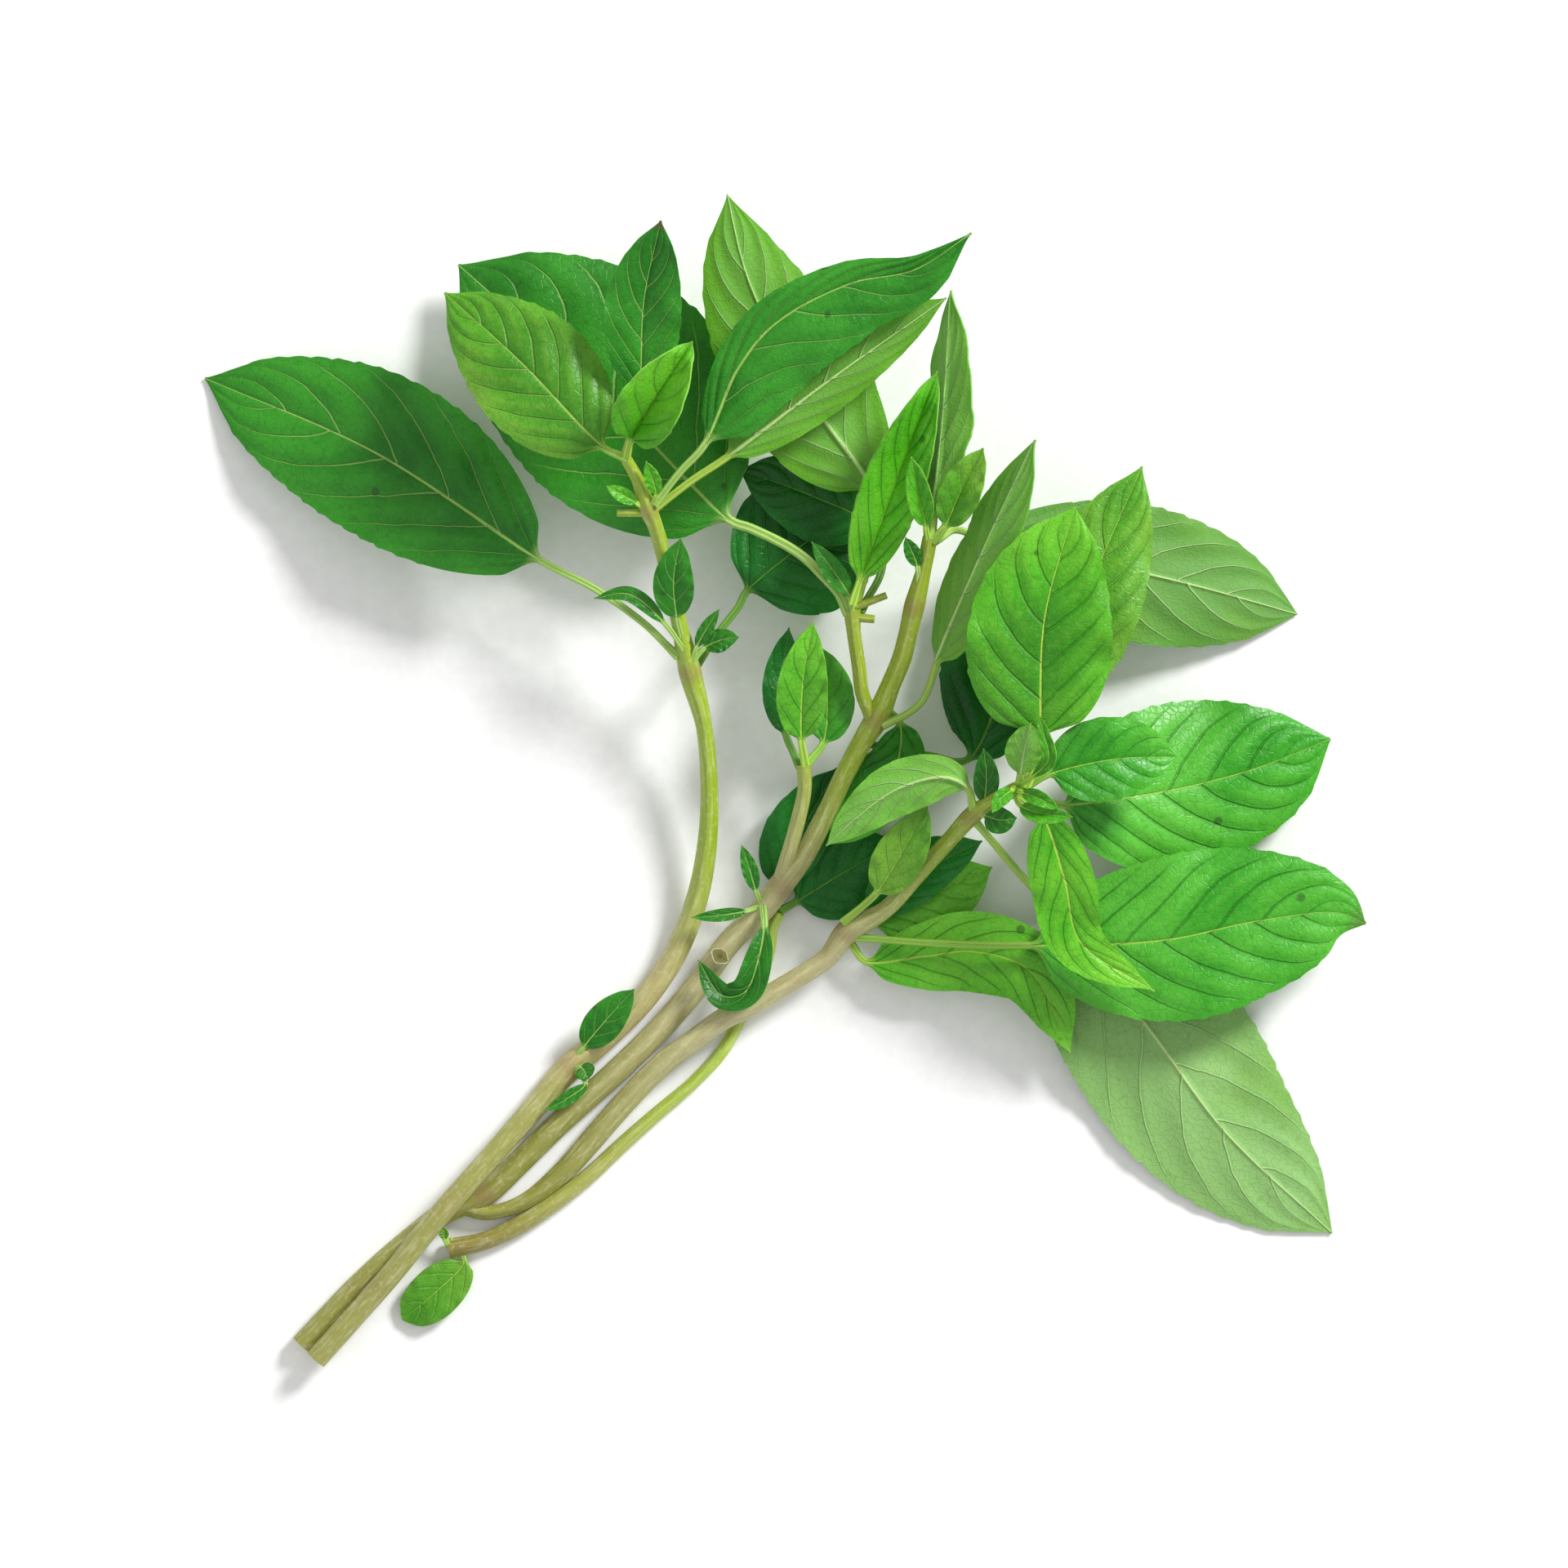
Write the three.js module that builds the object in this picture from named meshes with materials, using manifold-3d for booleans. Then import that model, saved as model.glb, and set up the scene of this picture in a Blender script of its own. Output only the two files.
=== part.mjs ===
// A small bunch of cut basil lying on a table: three leafy stems side by side, the middle one forked.
// Sizes are in millimetres, seen from above with +Z up; the table is the plane z = 0.
// Every leaf is one closed blade with its stalk. Stems carry their smallest leaves, buds and scars as one body.
import * as THREE from "three";
import Module from "manifold-3d";

const wasm = await Module();
wasm.setup();

// Driving sizes
const BLADE = 0.7; // thickness of every leaf blade
const TIP = 0.35; // half the width of the blunt end of a leaf
const STALK = 0.7; // radius of a large leaf's stalk
const TOOTH = 0.045; // how far a tooth stands out, as a part of the half-width
const FIRST_TOOTH = 0.3; // where the teeth begin, as a part of the blade's length
const LAST_TOOTH = 0.95;
const TOOTH_PEAK = 0.72; // a tooth leans forward: its peak is this far along it
const TOOTHED_START = [0.05, 0.13, 0.22]; // where a toothed blade has rings before its teeth
const PLAIN_STATIONS = [0.08, 0.2, 0.42, 0.66, 0.86]; // where a small blade without teeth has rings
const SHARPNESS = 1.5; // larger makes both ends of a blade more pointed, unless its row gives its own
const FINE = 5; // columns of points across each face of a large leaf
const PLAIN = 3; // the same for a small one
const STEM_SIDES = 4; // columns across the upper half of a stem, so a stem has 8 sides
const SPAN_SAMPLES = 16; // samples between two hand-placed points of a line
const FULL_FOLD = 3; // a blade narrower than this, each side of its midrib, is folded less
const TABLE = 400; // side of the block that trims what would reach below the table

// The middle of the whole bunch in the plan that the points below are given in
const MIDDLE_X = 0.03;
const MIDDLE_Y = 0.35;

const COLOURS = {
  dark: "#2a7a2e",
  mid: "#4a9a30",
  bright: "#6cb83a",
  pale: "#86b75c",
  stem: "#b3b06c",
  green_stem: "#8fae52",
};

// The large leaves. stalk: points from the stem to the blade; blade: points of the midrib from base to tip;
// width: the two half-widths, left and right of the midrib seen from the upper face; belly: where the blade is
// widest; fold: how far each half rises from the midrib, in degrees; curl: how far it bends on the way out;
// roll: turn about the midrib, 180 for a leaf that lies on its upper face; wave: height of the margin's waves;
// sharp: how pointed both ends of the blade are.
const LEAVES = {
  left_leaf_outer: {
    stalk: [[-20.9, 24.8, 16.2], [-25.5, 29.3, 17], [-34.5, 35.7, 17]],
    blade: [[-44.3, 40.8, 15.5], [-75.6, 61.2, 9], [-107, 75, 0.25]],
    width: [15, 15], belly: 0.47, fold: 8, curl: -16, wave: 0.8, tone: "dark", rests: true,
  },
  left_leaf_inner: {
    stalk: [[-15.1, 23.2, 13.2], [-11.3, 28.8, 12], [-8.3, 32.7, 11]],
    blade: [[-6.9, 35.4, 10.5], [6, 46, 9], [18.8, 55.5, 7]],
    width: [13.5, 13.5], belly: 0.42, fold: 6, curl: -12, wave: 0.6, tone: "dark",
  },
  left_leaf_crown_west: {
    stalk: [[-30.4, 60.1, 31.4]],
    blade: [[-32.7, 61.2, 32], [-48, 77, 30], [-62.1, 89.9, 23]],
    width: [11.3, 11.3], belly: 0.42, fold: 8, curl: -26, wave: 0.6, tone: "mid",
  },
  left_leaf_crown_north: {
    stalk: [[-28.7, 61.2, 29.4], [-27.5, 65.5, 31]],
    blade: [[-26.3, 70.5, 32.5], [-25.5, 88, 35], [-22.4, 102.5, 38]],
    width: [7.2, 7.2], belly: 0.45, fold: 18, curl: -14, wave: 0.4, tone: "dark",
  },
  left_leaf_crown_folded: {
    stalk: [[-28.5, 60.7, 32.2]],
    blade: [[-28, 62.5, 33.8], [-22.5, 71.5, 39], [-16.7, 80.3, 42]],
    width: [8, 8], belly: 0.4, fold: 45, curl: 0, wave: 0.3, tone: "bright",
  },
  left_leaf_long: {
    stalk: [[-22.4, 52.7, 27], [-19, 57, 28.2]],
    blade: [[-14.4, 62.1, 29.5], [-8.3, 75.8, 31], [-1.5, 84, 32], [12, 91.2, 33], [24, 93.8, 33.5],
      [34.2, 100.4, 34]],
    width: [5, 12], belly: 0.38, fold: 12, curl: -24, wave: 0.5, tone: "dark",
  },
  left_leaf_long_lower: {
    stalk: [[-23, 50.8, 24.2], [-17, 55.4, 25.2]],
    blade: [[-10.5, 59.7, 26.2], [9, 74.3, 27.2], [29.7, 88.8, 28.6]],
    width: [5.5, 9], belly: 0.42, fold: 6, curl: 6, roll: 180, wave: 0.4, tone: "pale",
  },
  centre_leaf_broad: {
    stalk: [[11, 33, 18.8], [10, 35, 18.8], [7, 38.3, 18.8], [4, 41.3, 18.5], [0.5, 43.7, 18],
      [-6.3, 47, 17]],
    blade: [[-9.8, 48.3, 16.3], [-34, 72.5, 13], [-60, 95.7, 7]],
    width: [20, 23], belly: 0.45, fold: 4, curl: -14, wave: 1, tone: "dark",
  },
  centre_leaf_north: {
    stalk: [[13.7, 34.1, 18.4], [16, 43, 19]],
    blade: [[16.5, 52.8, 20], [6.5, 68, 20.8], [-3.5, 85.4, 21.5], [-7.4, 95, 22], [-10.4, 108, 22]],
    width: [12.5, 12.5], belly: 0.42, fold: 4, curl: 8, roll: 180, wave: 0.6, tone: "pale",
  },
  centre_leaf_dark: {
    stalk: [[14.9, 33.2, 17.2], [18, 39.5, 14.5]],
    blade: [[17.3, 46.5, 13], [5, 53, 12.5], [-8.3, 57.8, 12]],
    width: [8, 8], belly: 0.42, fold: 4, curl: -8, wave: 0.4, tone: "dark",
  },
  centre_leaf_folded: {
    stalk: [[13.1, 34.8, 21.8]],
    blade: [[13.8, 37, 22.2], [20, 54, 24.4], [28, 75.3, 29.5]],
    width: [7.5, 7], belly: 0.42, fold: 40, curl: 0, wave: 0.4, tone: "dark",
  },
  centre_leaf_narrow: {
    stalk: [[27.2, 46.9, 27.8]],
    blade: [[27.4, 48.4, 28], [29.5, 70, 26], [30.6, 90.3, 24]],
    width: [6.5, 6.5], belly: 0.42, fold: 8, curl: 0, roll: -130, wave: 0.4, tone: "pale",
  },
  centre_leaf_narrow_back: {
    stalk: [[26.2, 46.9, 25.4]],
    blade: [[26, 49, 23], [26.5, 60, 17.5], [30, 71.7, 16]],
    width: [4.8, 4.8], belly: 0.42, fold: 10, curl: 0, wave: 0.3, tone: "mid",
  },
  centre_leaf_top: {
    stalk: [[28.4, 45.8, 28.4]],
    blade: [[29.4, 47, 29.2], [32.5, 54, 31.5], [36.3, 61.2, 34]],
    width: [4.2, 4.2], belly: 0.42, fold: 25, curl: 0, wave: 0.3, tone: "bright",
  },
  centre_leaf_pale: {
    stalk: [[20, 11.6, 14.9], [22.5, 12.8, 15.5], [25.2, 15, 16.2], [26.7, 18, 17]],
    blade: [[27.9, 21.8, 18.5], [36.5, 42.5, 27], [45.8, 62.7, 34]],
    width: [7.2, 7.2], belly: 0.42, fold: 8, curl: 0, roll: -140, wave: 0.4, tone: "pale",
  },
  centre_leaf_east: {
    stalk: [[28.6, 45, 25.4], [31.5, 46.6, 20.6]],
    blade: [[36, 45.3, 17.8], [53, 41.6, 14.2], [74, 37, 8], [94.8, 31.4, 0.25]],
    width: [13, 12.5], belly: 0.5, fold: 4, curl: 8, roll: 180, wave: 0.5, tone: "pale", rests: true,
  },
  centre_leaf_deep: {
    stalk: [[15.3, 7.4, 10.2], [20, 6.6, 7.2], [27, 5.2, 6.3]],
    blade: [[33.8, 4.5, 6.3], [43, 27, 7], [51.9, 50, 8.5]],
    width: [13, 10], belly: 0.5, sharp: 1.2, fold: 4, curl: -10, wave: 0.5, tone: "dark",
  },
  centre_leaf_droop: {
    stalk: [[19.7, 12.9, 13]],
    blade: [[21.2, 11.5, 12.4], [20.8, 4, 10.2], [14.5, -5, 7.6], [7.8, -11.3, 6.6]],
    width: [5.8, 5.8], belly: 0.42, fold: 4, curl: -6, wave: 0.3, tone: "mid",
  },
  centre_leaf_under: {
    stalk: [[-2.9, -21.4, 2.2]],
    blade: [[-1.8, -19.2, 2.4], [2.5, -10, 4.5], [9.8, 3, 5.4]],
    width: [6.5, 5.5], belly: 0.42, fold: 2, curl: -4, wave: 0.3, tone: "dark",
  },
  centre_leaf_curled: {
    stalk: [[-3.7, -24.4, 8]],
    blade: [[-3.6, -26, 8.8], [-4.5, -31.5, 9.6], [-7.2, -38.3, 9.4], [-11.3, -39, 9], [-15.9, -32.4, 8.8]],
    width: [3, 3], belly: 0.45, fold: 20, curl: 0, wave: 0.3, tone: "dark",
  },
  shoot_leaf_bright: {
    stalk: [[3.6, 5.4, 14.8]],
    blade: [[3.2, 8, 16], [3.5, 19, 18.5], [5.3, 29.7, 20.5]],
    width: [4.8, 4.8], belly: 0.4, fold: 14, curl: 0, wave: 0.3, tone: "bright",
  },
  shoot_leaf_right: {
    stalk: [[5.2, 4.8, 12.6]],
    blade: [[7.2, 7.5, 12], [8, 16, 12], [6.5, 25.5, 12]],
    width: [5, 5], belly: 0.42, fold: 6, curl: 0, wave: 0.3, tone: "mid",
  },
  shoot_leaf_left: {
    stalk: [[2.1, 5, 12.4]],
    blade: [[0.3, 9.2, 11.5], [-0.5, 18, 10.3], [0.9, 28.8, 9.6]],
    width: [3.5, 3.5], belly: 0.42, fold: 6, curl: 0, wave: 0.2, tone: "dark",
  },
  right_leaf_crown_north: {
    stalk: [[45.1, 1.2, 28.6], [46.6, 4.5, 29.5]],
    blade: [[46.8, 8.4, 30.4], [47.5, 30, 33], [53, 50.4, 35]],
    width: [13.8, 12.8], belly: 0.4, sharp: 1.25, fold: 8, curl: -24, wave: 0.7, tone: "bright",
  },
  right_leaf_crown_back: {
    stalk: [[43.9, 1.6, 25.6], [46, 7, 24.5]],
    blade: [[47.8, 13.5, 24], [56, 36, 23.5], [65.6, 58.2, 21]],
    width: [10, 10.5], belly: 0.42, fold: 8, curl: -20, wave: 0.5, tone: "mid",
  },
  right_leaf_east: {
    stalk: [[45.2, -1.8, 25.4], [48, -3, 23]],
    blade: [[51, -3.8, 20.2], [69.8, -1.4, 10.6], [86.4, 2.7, 7.2], [100.8, 8.3, 4.2]],
    width: [16, 15], belly: 0.46, sharp: 1.35, fold: 2, curl: -22, wave: 0.8, tone: "mid",
  },
  right_leaf_east_small: {
    stalk: [[45.3, 0.1, 27.2]],
    blade: [[48.4, 1.8, 28], [60, 4.5, 27], [72, 5.1, 23.5]],
    width: [8, 7.6], belly: 0.42, sharp: 1.3, fold: 14, curl: -10, wave: 0.4, tone: "bright",
  },
  right_leaf_hanging: {
    stalk: [[44.4, -3.1, 28.4]],
    blade: [[47, -5.3, 29], [51.4, -17.6, 24], [54.4, -29, 19.4], [68, -38, 17]],
    width: [5.5, 6.5], belly: 0.36, fold: 10, curl: -10, wave: 0.4, tone: "bright",
  },
  right_leaf_broad: {
    stalk: [[14.9, -28.4, 6.8], [28, -29.3, 9]],
    blade: [[45.3, -29.7, 11.5], [69.8, -28.7, 13], [87, -25.2, 12], [102, -23.7, 10.5], [107.1, -25.7, 10]],
    width: [15.3, 15.3], belly: 0.47, sharp: 1.35, fold: 5, curl: -14, wave: 0.8, tone: "mid",
  },
  right_leaf_low_broad: {
    stalk: [[35.7, -7.6, 19.2], [42.9, -16, 13], [46.5, -20.1, 9.6]],
    blade: [[49.5, -25.5, 6.8], [65.6, -43, 4.8], [81.6, -64.4, 2.8], [101.3, -83, 0.25]],
    width: [17, 16.5], belly: 0.42, sharp: 1.3, fold: 3, curl: 4, roll: 180, wave: 0.5, tone: "pale",
    rests: true,
  },
  right_leaf_low_narrow: {
    stalk: [[12.8, -30, 4.9]],
    blade: [[15, -32.7, 5], [26, -31.8, 6], [35, -30.9, 6.6], [45.3, -34.5, 8.6], [52.8, -49.5, 8.6]],
    width: [7.5, 7.5], belly: 0.45, fold: 3, curl: 0, wave: 0.4, tone: "mid",
  },
  right_leaf_west: {
    stalk: [[34.4, -3.4, 22.6]],
    blade: [[33.8, -0.9, 23.8], [29.5, 1.2, 24.5], [21, -0.8, 23.5], [13.5, -6, 21.5], [7.8, -11.3, 19.5]],
    width: [5, 5], belly: 0.42, fold: 8, curl: 0, roll: 180, wave: 0.3, tone: "pale",
  },
  right_leaf_axil: {
    stalk: [[12.3, -24.3, 9], [15, -22, 11]],
    blade: [[17, -20, 13], [22, -12, 17], [26.3, -3.8, 20]],
    width: [4.8, 4.8], belly: 0.42, fold: 15, curl: 0, wave: 0.3, tone: "mid",
  },
  right_leaf_under_west: {
    stalk: [[13.8, -25.2, 4.6]],
    blade: [[15.5, -23.8, 4.9], [25.5, -16.2, 7], [36.5, -10.5, 9]],
    width: [6, 5], belly: 0.42, fold: 3, curl: 0, wave: 0.3, tone: "dark",
  },
  right_leaf_under_east: {
    stalk: [[14.2, -27.2, 4.1]],
    blade: [[16.5, -26, 3.7], [27, -20.5, 3.8], [38.4, -15.3, 5]],
    width: [6, 8], belly: 0.42, fold: 2, curl: 0, wave: 0.3, tone: "mid",
  },
  right_leaf_bud: {
    stalk: [[43.1, 0.9, 28.8]],
    blade: [[43.2, 1.9, 29.9], [43.8, 6, 32.3], [44.9, 11.1, 34]],
    width: [3.5, 3.5], belly: 0.45, fold: 10, curl: 0, roll: 180, wave: 0.2, tone: "bright",
  },
  slender_leaf: {
    stalk: [[0.6, -22.7, 3]],
    blade: [[2.2, -21.8, 1.8], [10, -17, 1.2], [21, -10.5, 1.8]],
    width: [8, 8], belly: 0.42, fold: 0, curl: 0, wave: 0.2, tone: "dark",
  },
};

// The stems. lines: points [x, y, z, radius] of each limb, the first limb being the stem itself;
// small: leaves, scales and cut stubs that are one with the stem.
const STEMS = {
  left_stem: {
    tone: "green_stem",
    lines: [
      [[-86.4, -106.2, 4.2, 1.9], [-72.5, -90.5, 5.4, 1.9], [-64, -80, 6.3, 1.9], [-54, -68.7, 5, 1.9],
        [-45.8, -59.4, 3.2, 2], [-39.5, -52.2, 2.15, 2.4], [-32.3, -46.2, 2.1, 2.1], [-25.5, -39.3, 2.6, 2.1],
        [-19.8, -30.8, 3.2, 2], [-16, -21, 4.5, 1.9], [-14.1, -10.5, 6.5, 1.7], [-13.8, 0, 9, 1.5],
        [-14.7, 10.5, 11.5, 1.4], [-17.3, 20.7, 14.5, 2], [-19, 28.5, 17.5, 1.4], [-21.3, 39, 21, 1.35],
        [-23.6, 47.3, 24, 1.3], [-24.9, 50.3, 25.5, 1.6], [-26.7, 55.5, 28, 1.1], [-28.8, 59.3, 30.5, 1]],
    ],
    small: [
      { stalk: [[-38.5, -51, 3.5]], blade: [[-37, -48.6, 4.5], [-32, -42.6, 6], [-27.6, -37.8, 7]],
        width: [3.5, 3.5] },
      { stalk: [[-38.5, -52.5, 4]], blade: [[-37.4, -52.2, 5], [-36, -54.4, 5.8]], width: [2, 2] },
      { stalk: [[-38.6, -52.8, 3.4]], blade: [[-36.6, -55.2, 5.2], [-40, -58, 5.6], [-44, -60.2, 6]],
        width: [1.3, 1.3] },
      { stalk: [[-18.6, 26, 17.6]], blade: [[-19.6, 30.4, 20], [-20.2, 37.5, 23.4], [-18.9, 44.9, 25.4]],
        width: [3.8, 3.8] },
      { stalk: [[-18, 24, 17]], blade: [[-22, 29.6, 20.4], [-28.4, 34.8, 21.4], [-34.8, 34, 21.6]],
        width: [1.5, 1.5] },
      { stalk: [[-17, 22, 16]], blade: [[-16, 25.2, 17.6], [-14, 28.8, 19], [-11.9, 32, 20]],
        width: [1.3, 1.3] },
      { stalk: [[-17, 22, 15.6]], blade: [[-14.6, 25, 16.2], [-11, 26.6, 17], [-8.3, 26.9, 17.4]],
        width: [2.2, 2.2] },
      { stalk: [[-24.6, 50.6, 26]], blade: [[-23.6, 52.6, 27.6], [-25.3, 58.7, 31.6]], width: [1.2, 1.2] },
      { stalk: [[-25.3, 50.2, 25.6]], blade: [[-27, 50.9, 26.6], [-32.4, 54.4, 28.4]], width: [1.1, 1.1] },
    ],
    stubs: [[[-25.3, 49.6, 25.2, 0.7], [-30.5, 49.5, 26, 0.6]]],
  },
  middle_stem: {
    tone: "stem",
    lines: [
      [[-89.1, -103.7, 1.8, 2], [-78, -92, 1.75, 1.95], [-69, -84, 1.75, 1.95], [-62.3, -79, 1.78, 2],
        [-55.5, -75.8, 1.85, 2.2], [-48, -69, 1.88, 2.1], [-41.6, -62.7, 1.9, 2.1], [-30, -52.2, 2.1, 2.1],
        [-21.9, -44.1, 2.5, 2.1], [-15.2, -36.2, 3.2, 2.1], [-10, -29.1, 4, 2.1], [-4.2, -23.4, 5, 2.1],
        [-0.5, -18.6, 6, 2.2], [3.8, -12.9, 7.5, 1.9], [7.8, -5.3, 9.5, 1.7], [11.3, 2, 11.5, 1.7],
        [14.7, 8.3, 13, 1.8], [17, 12, 14, 2.1], [19.5, 18, 16, 1.7], [21.6, 23.1, 18, 1.7],
        [22.8, 28, 20, 1.6], [23.9, 32.7, 22, 1.8], [25.5, 39, 24.5, 1.3], [26.7, 45, 27, 1.3]],
      [[16.4, 11, 13.8, 1.2], [15.6, 13.4, 14.4, 1.2], [14.4, 16.5, 15, 1.2], [13.7, 21.8, 16.5, 1.2],
        [12.8, 27.8, 18, 1.2], [12.5, 32, 19, 1.5]],
      [[-0.9, -17.6, 6.4, 1.1], [0, -15.4, 7.6, 1.3], [2.6, -6.6, 10.6, 1.3], [3.8, -0.9, 12.4, 1.2],
        [3.6, 3.5, 13.5, 1.3]],
      [[-59.5, -78.2, 1.9, 1.3], [-55.2, -79.2, 1.9, 1.3], [-50.6, -78.3, 1.9, 1.3], [-46.4, -76.2, 1.9, 1.5],
        [-40.5, -71.3, 2, 1.9], [-35.4, -65.6, 2.2, 2], [-29.9, -59.3, 2.6, 2], [-22.8, -52, 3.4, 2],
        [-16.8, -47.4, 4.4, 1.9], [-11, -43.2, 5.2, 1.9], [-5.9, -40.7, 5.4, 1.9], [1.7, -36.2, 5.2, 1.7],
        [8, -32, 5.4, 1.7], [11.6, -27.3, 6.5, 2.1], [18.8, -23, 9.8, 1.5], [24.5, -16.7, 13.2, 1.5],
        [30.6, -10, 17.5, 1.4], [34.5, -5.7, 21, 1.6], [38.3, -3, 24, 1.2], [42.8, -0.8, 27, 1.3]],
    ],
    small: [
      { stalk: [[12.5, 31.6, 19.6]], blade: [[12, 34.4, 20.6], [8.6, 39.6, 22], [5.1, 44.3, 23]],
        width: [2, 2] },
      { stalk: [[24.6, 36, 24]], blade: [[24.4, 39.8, 26], [22.2, 45, 28.8]], width: [1.5, 1.5] },
      { stalk: [[26.4, 44, 27.2]], blade: [[25.9, 47, 29.4], [24.4, 53.4, 33.6], [23.2, 59.4, 37]],
        width: [2.5, 2.5] },
      { stalk: [[-4.5, -22.6, 6]], blade: [[-7, -23.4, 8], [-12, -24.2, 9], [-17, -24.6, 9.4]],
        width: [1.2, 1.2] },
      { stalk: [[-4.2, -22.4, 6]], blade: [[-5.2, -19.6, 8], [-6.4, -15.4, 9], [-7.8, -11.3, 9.6]],
        width: [1.5, 1.5] },
      { stalk: [[35, -5, 21.6]], blade: [[36.4, -3.4, 23], [37, 1.4, 25.6], [36.5, 6.4, 27]],
        width: [2.4, 2.4] },
      { stalk: [[35.4, -5.4, 21.4]], blade: [[37.2, -6.8, 22.2], [40, -7.6, 22.6], [42.6, -7, 22.6]],
        width: [2, 2] },
      { stalk: [[42, -1.4, 27.2]], blade: [[43.2, -4, 31], [47, -5.4, 33.4], [52.5, -6, 34.6]],
        width: [1.6, 1.6] },
    ],
    stubs: [
      [[13, 32.4, 19, 0.7], [18.8, 34.6, 19.6, 0.6]],
      [[13, 30.6, 18.6, 0.8], [16.6, 30.2, 18.8, 0.7]],
      [[-13.2, -33.4, 4.6, 1.6], [-11.4, -31.2, 6.6, 1.1]],
    ],
  },
  slender_stem: {
    tone: "green_stem",
    lines: [
      [[-62, -85.8, 1.5, 1.7], [-55.6, -84.5, 1.5, 1.6], [-49.7, -81.9, 1.5, 1.6], [-43.1, -77.7, 1.5, 1.5],
        [-36.6, -72.8, 1.4, 1.4], [-28.8, -65.6, 1.3, 1.3], [-22.8, -60.3, 1.2, 1.2], [-16.5, -54.9, 1.2, 1.1],
        [-11.4, -49.4, 1.1, 1.1], [-8.1, -43.5, 1.1, 1], [-5, -37.5, 1.6, 1], [-2.7, -30.8, 2.4, 1],
        [-2.1, -26.3, 3, 1], [-0.8, -23.7, 3.4, 1]],
    ],
    small: [
      { stalk: [[-60.6, -85.6, 1.6]], blade: [[-59, -88, 1.4], [-64.5, -94, 1.5], [-70.5, -99, 1]],
        width: [4.8, 4.6], belly: 0.5,
        sharp: 1 },
      { stalk: [[-61.5, -85.8, 2]], blade: [[-62.6, -84, 3.2], [-62.8, -81.8, 4]], width: [0.9, 0.9] },
    ],
    stubs: [],
  },
};

// A smooth line through hand-placed points, which knows its place, direction and radius at any length along it.
class Line {
  constructor(points) {
    const spots = points.map(([x, y, z]) => new THREE.Vector3(x, y, z));
    this.count = (points.length - 1) * SPAN_SAMPLES;
    this.points = new THREE.CatmullRomCurve3(spots, false, "centripetal").getPoints(this.count);
    this.lengths = [0];
    for (let i = 1; i <= this.count; i++) {
      this.lengths.push(this.lengths[i - 1] + this.points[i].distanceTo(this.points[i - 1]));
    }
    this.length = this.lengths[this.count];
    this.radii = points.map((p) => p[3]);
  }

  lengthAtPoint(k) {
    return this.lengths[k * SPAN_SAMPLES];
  }

  at(s) {
    const length = THREE.MathUtils.clamp(s, 0, this.length);
    let i = 1;
    while (i < this.count && this.lengths[i] < length) i++;
    const part = (length - this.lengths[i - 1]) / (this.lengths[i] - this.lengths[i - 1]);
    return this.points[i - 1].clone().lerp(this.points[i], part);
  }

  // Three directions at a length: along the line, to its right on the level, and up, turned by roll degrees.
  frame(s, roll = 0) {
    const along = this.at(s + 0.4).sub(this.at(s - 0.4)).normalize();
    const side = new THREE.Vector3().crossVectors(along, new THREE.Vector3(0, 0, 1)).normalize();
    side.applyAxisAngle(along, -THREE.MathUtils.degToRad(roll));
    return { along, side, up: new THREE.Vector3().crossVectors(side, along) };
  }
}

// A closed skin over rings of points. Each ring has its upper points from left to right, then its lower ones.
function skin(rings, columns) {
  const triangles = [];
  const upper = (i, j) => 2 * columns * i + j;
  const lower = (i, j) => 2 * columns * i + columns + j;
  const quad = (a, b, c, d) => triangles.push(a, b, c, a, c, d);
  const last = rings.length - 1;
  for (let i = 0; i < last; i++) {
    for (let j = 0; j < columns - 1; j++) {
      quad(upper(i, j), upper(i, j + 1), upper(i + 1, j + 1), upper(i + 1, j));
      triangles.push(lower(i, j), lower(i + 1, j + 1), lower(i, j + 1));
      triangles.push(lower(i, j), lower(i + 1, j), lower(i + 1, j + 1));
    }
    const edge = columns - 1;
    quad(lower(i, edge), lower(i + 1, edge), upper(i + 1, edge), upper(i, edge));
    quad(lower(i, 0), upper(i, 0), upper(i + 1, 0), lower(i + 1, 0));
  }
  for (let j = 0; j < columns - 1; j++) {
    quad(lower(0, j), lower(0, j + 1), upper(0, j + 1), upper(0, j));
    quad(lower(last, j), upper(last, j), upper(last, j + 1), lower(last, j + 1));
  }
  const vertProperties = new Float32Array(rings.flat().flatMap((p) => [p.x, p.y, p.z]));
  const triVerts = new Uint32Array(triangles);
  return new wasm.Manifold(new wasm.Mesh({ numProp: 3, vertProperties, triVerts }));
}

// A round ring about a point of a line, with its points numbered as skin needs them.
function roundRing(line, s, radius, columns, roll) {
  const centre = line.at(s);
  const { side, up } = line.frame(s, roll);
  const points = [];
  for (const face of [1, -1]) {
    for (let j = 0; j < columns; j++) {
      const angle = Math.PI * (1 - (2 * j + 1) / (2 * columns));
      const across = side.clone().multiplyScalar(radius * Math.cos(angle));
      points.push(centre.clone().add(across).addScaledVector(up, face * radius * Math.sin(angle)));
    }
  }
  return points;
}

// How wide a blade is at t, from 0 at its base to 1 at its tip, as a part of its greatest half-width.
function outline(t, { belly, sharp }) {
  const rise = sharp * belly;
  const fall = sharp - rise;
  return (t / belly) ** rise * ((1 - t) / (1 - belly)) ** fall;
}

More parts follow.
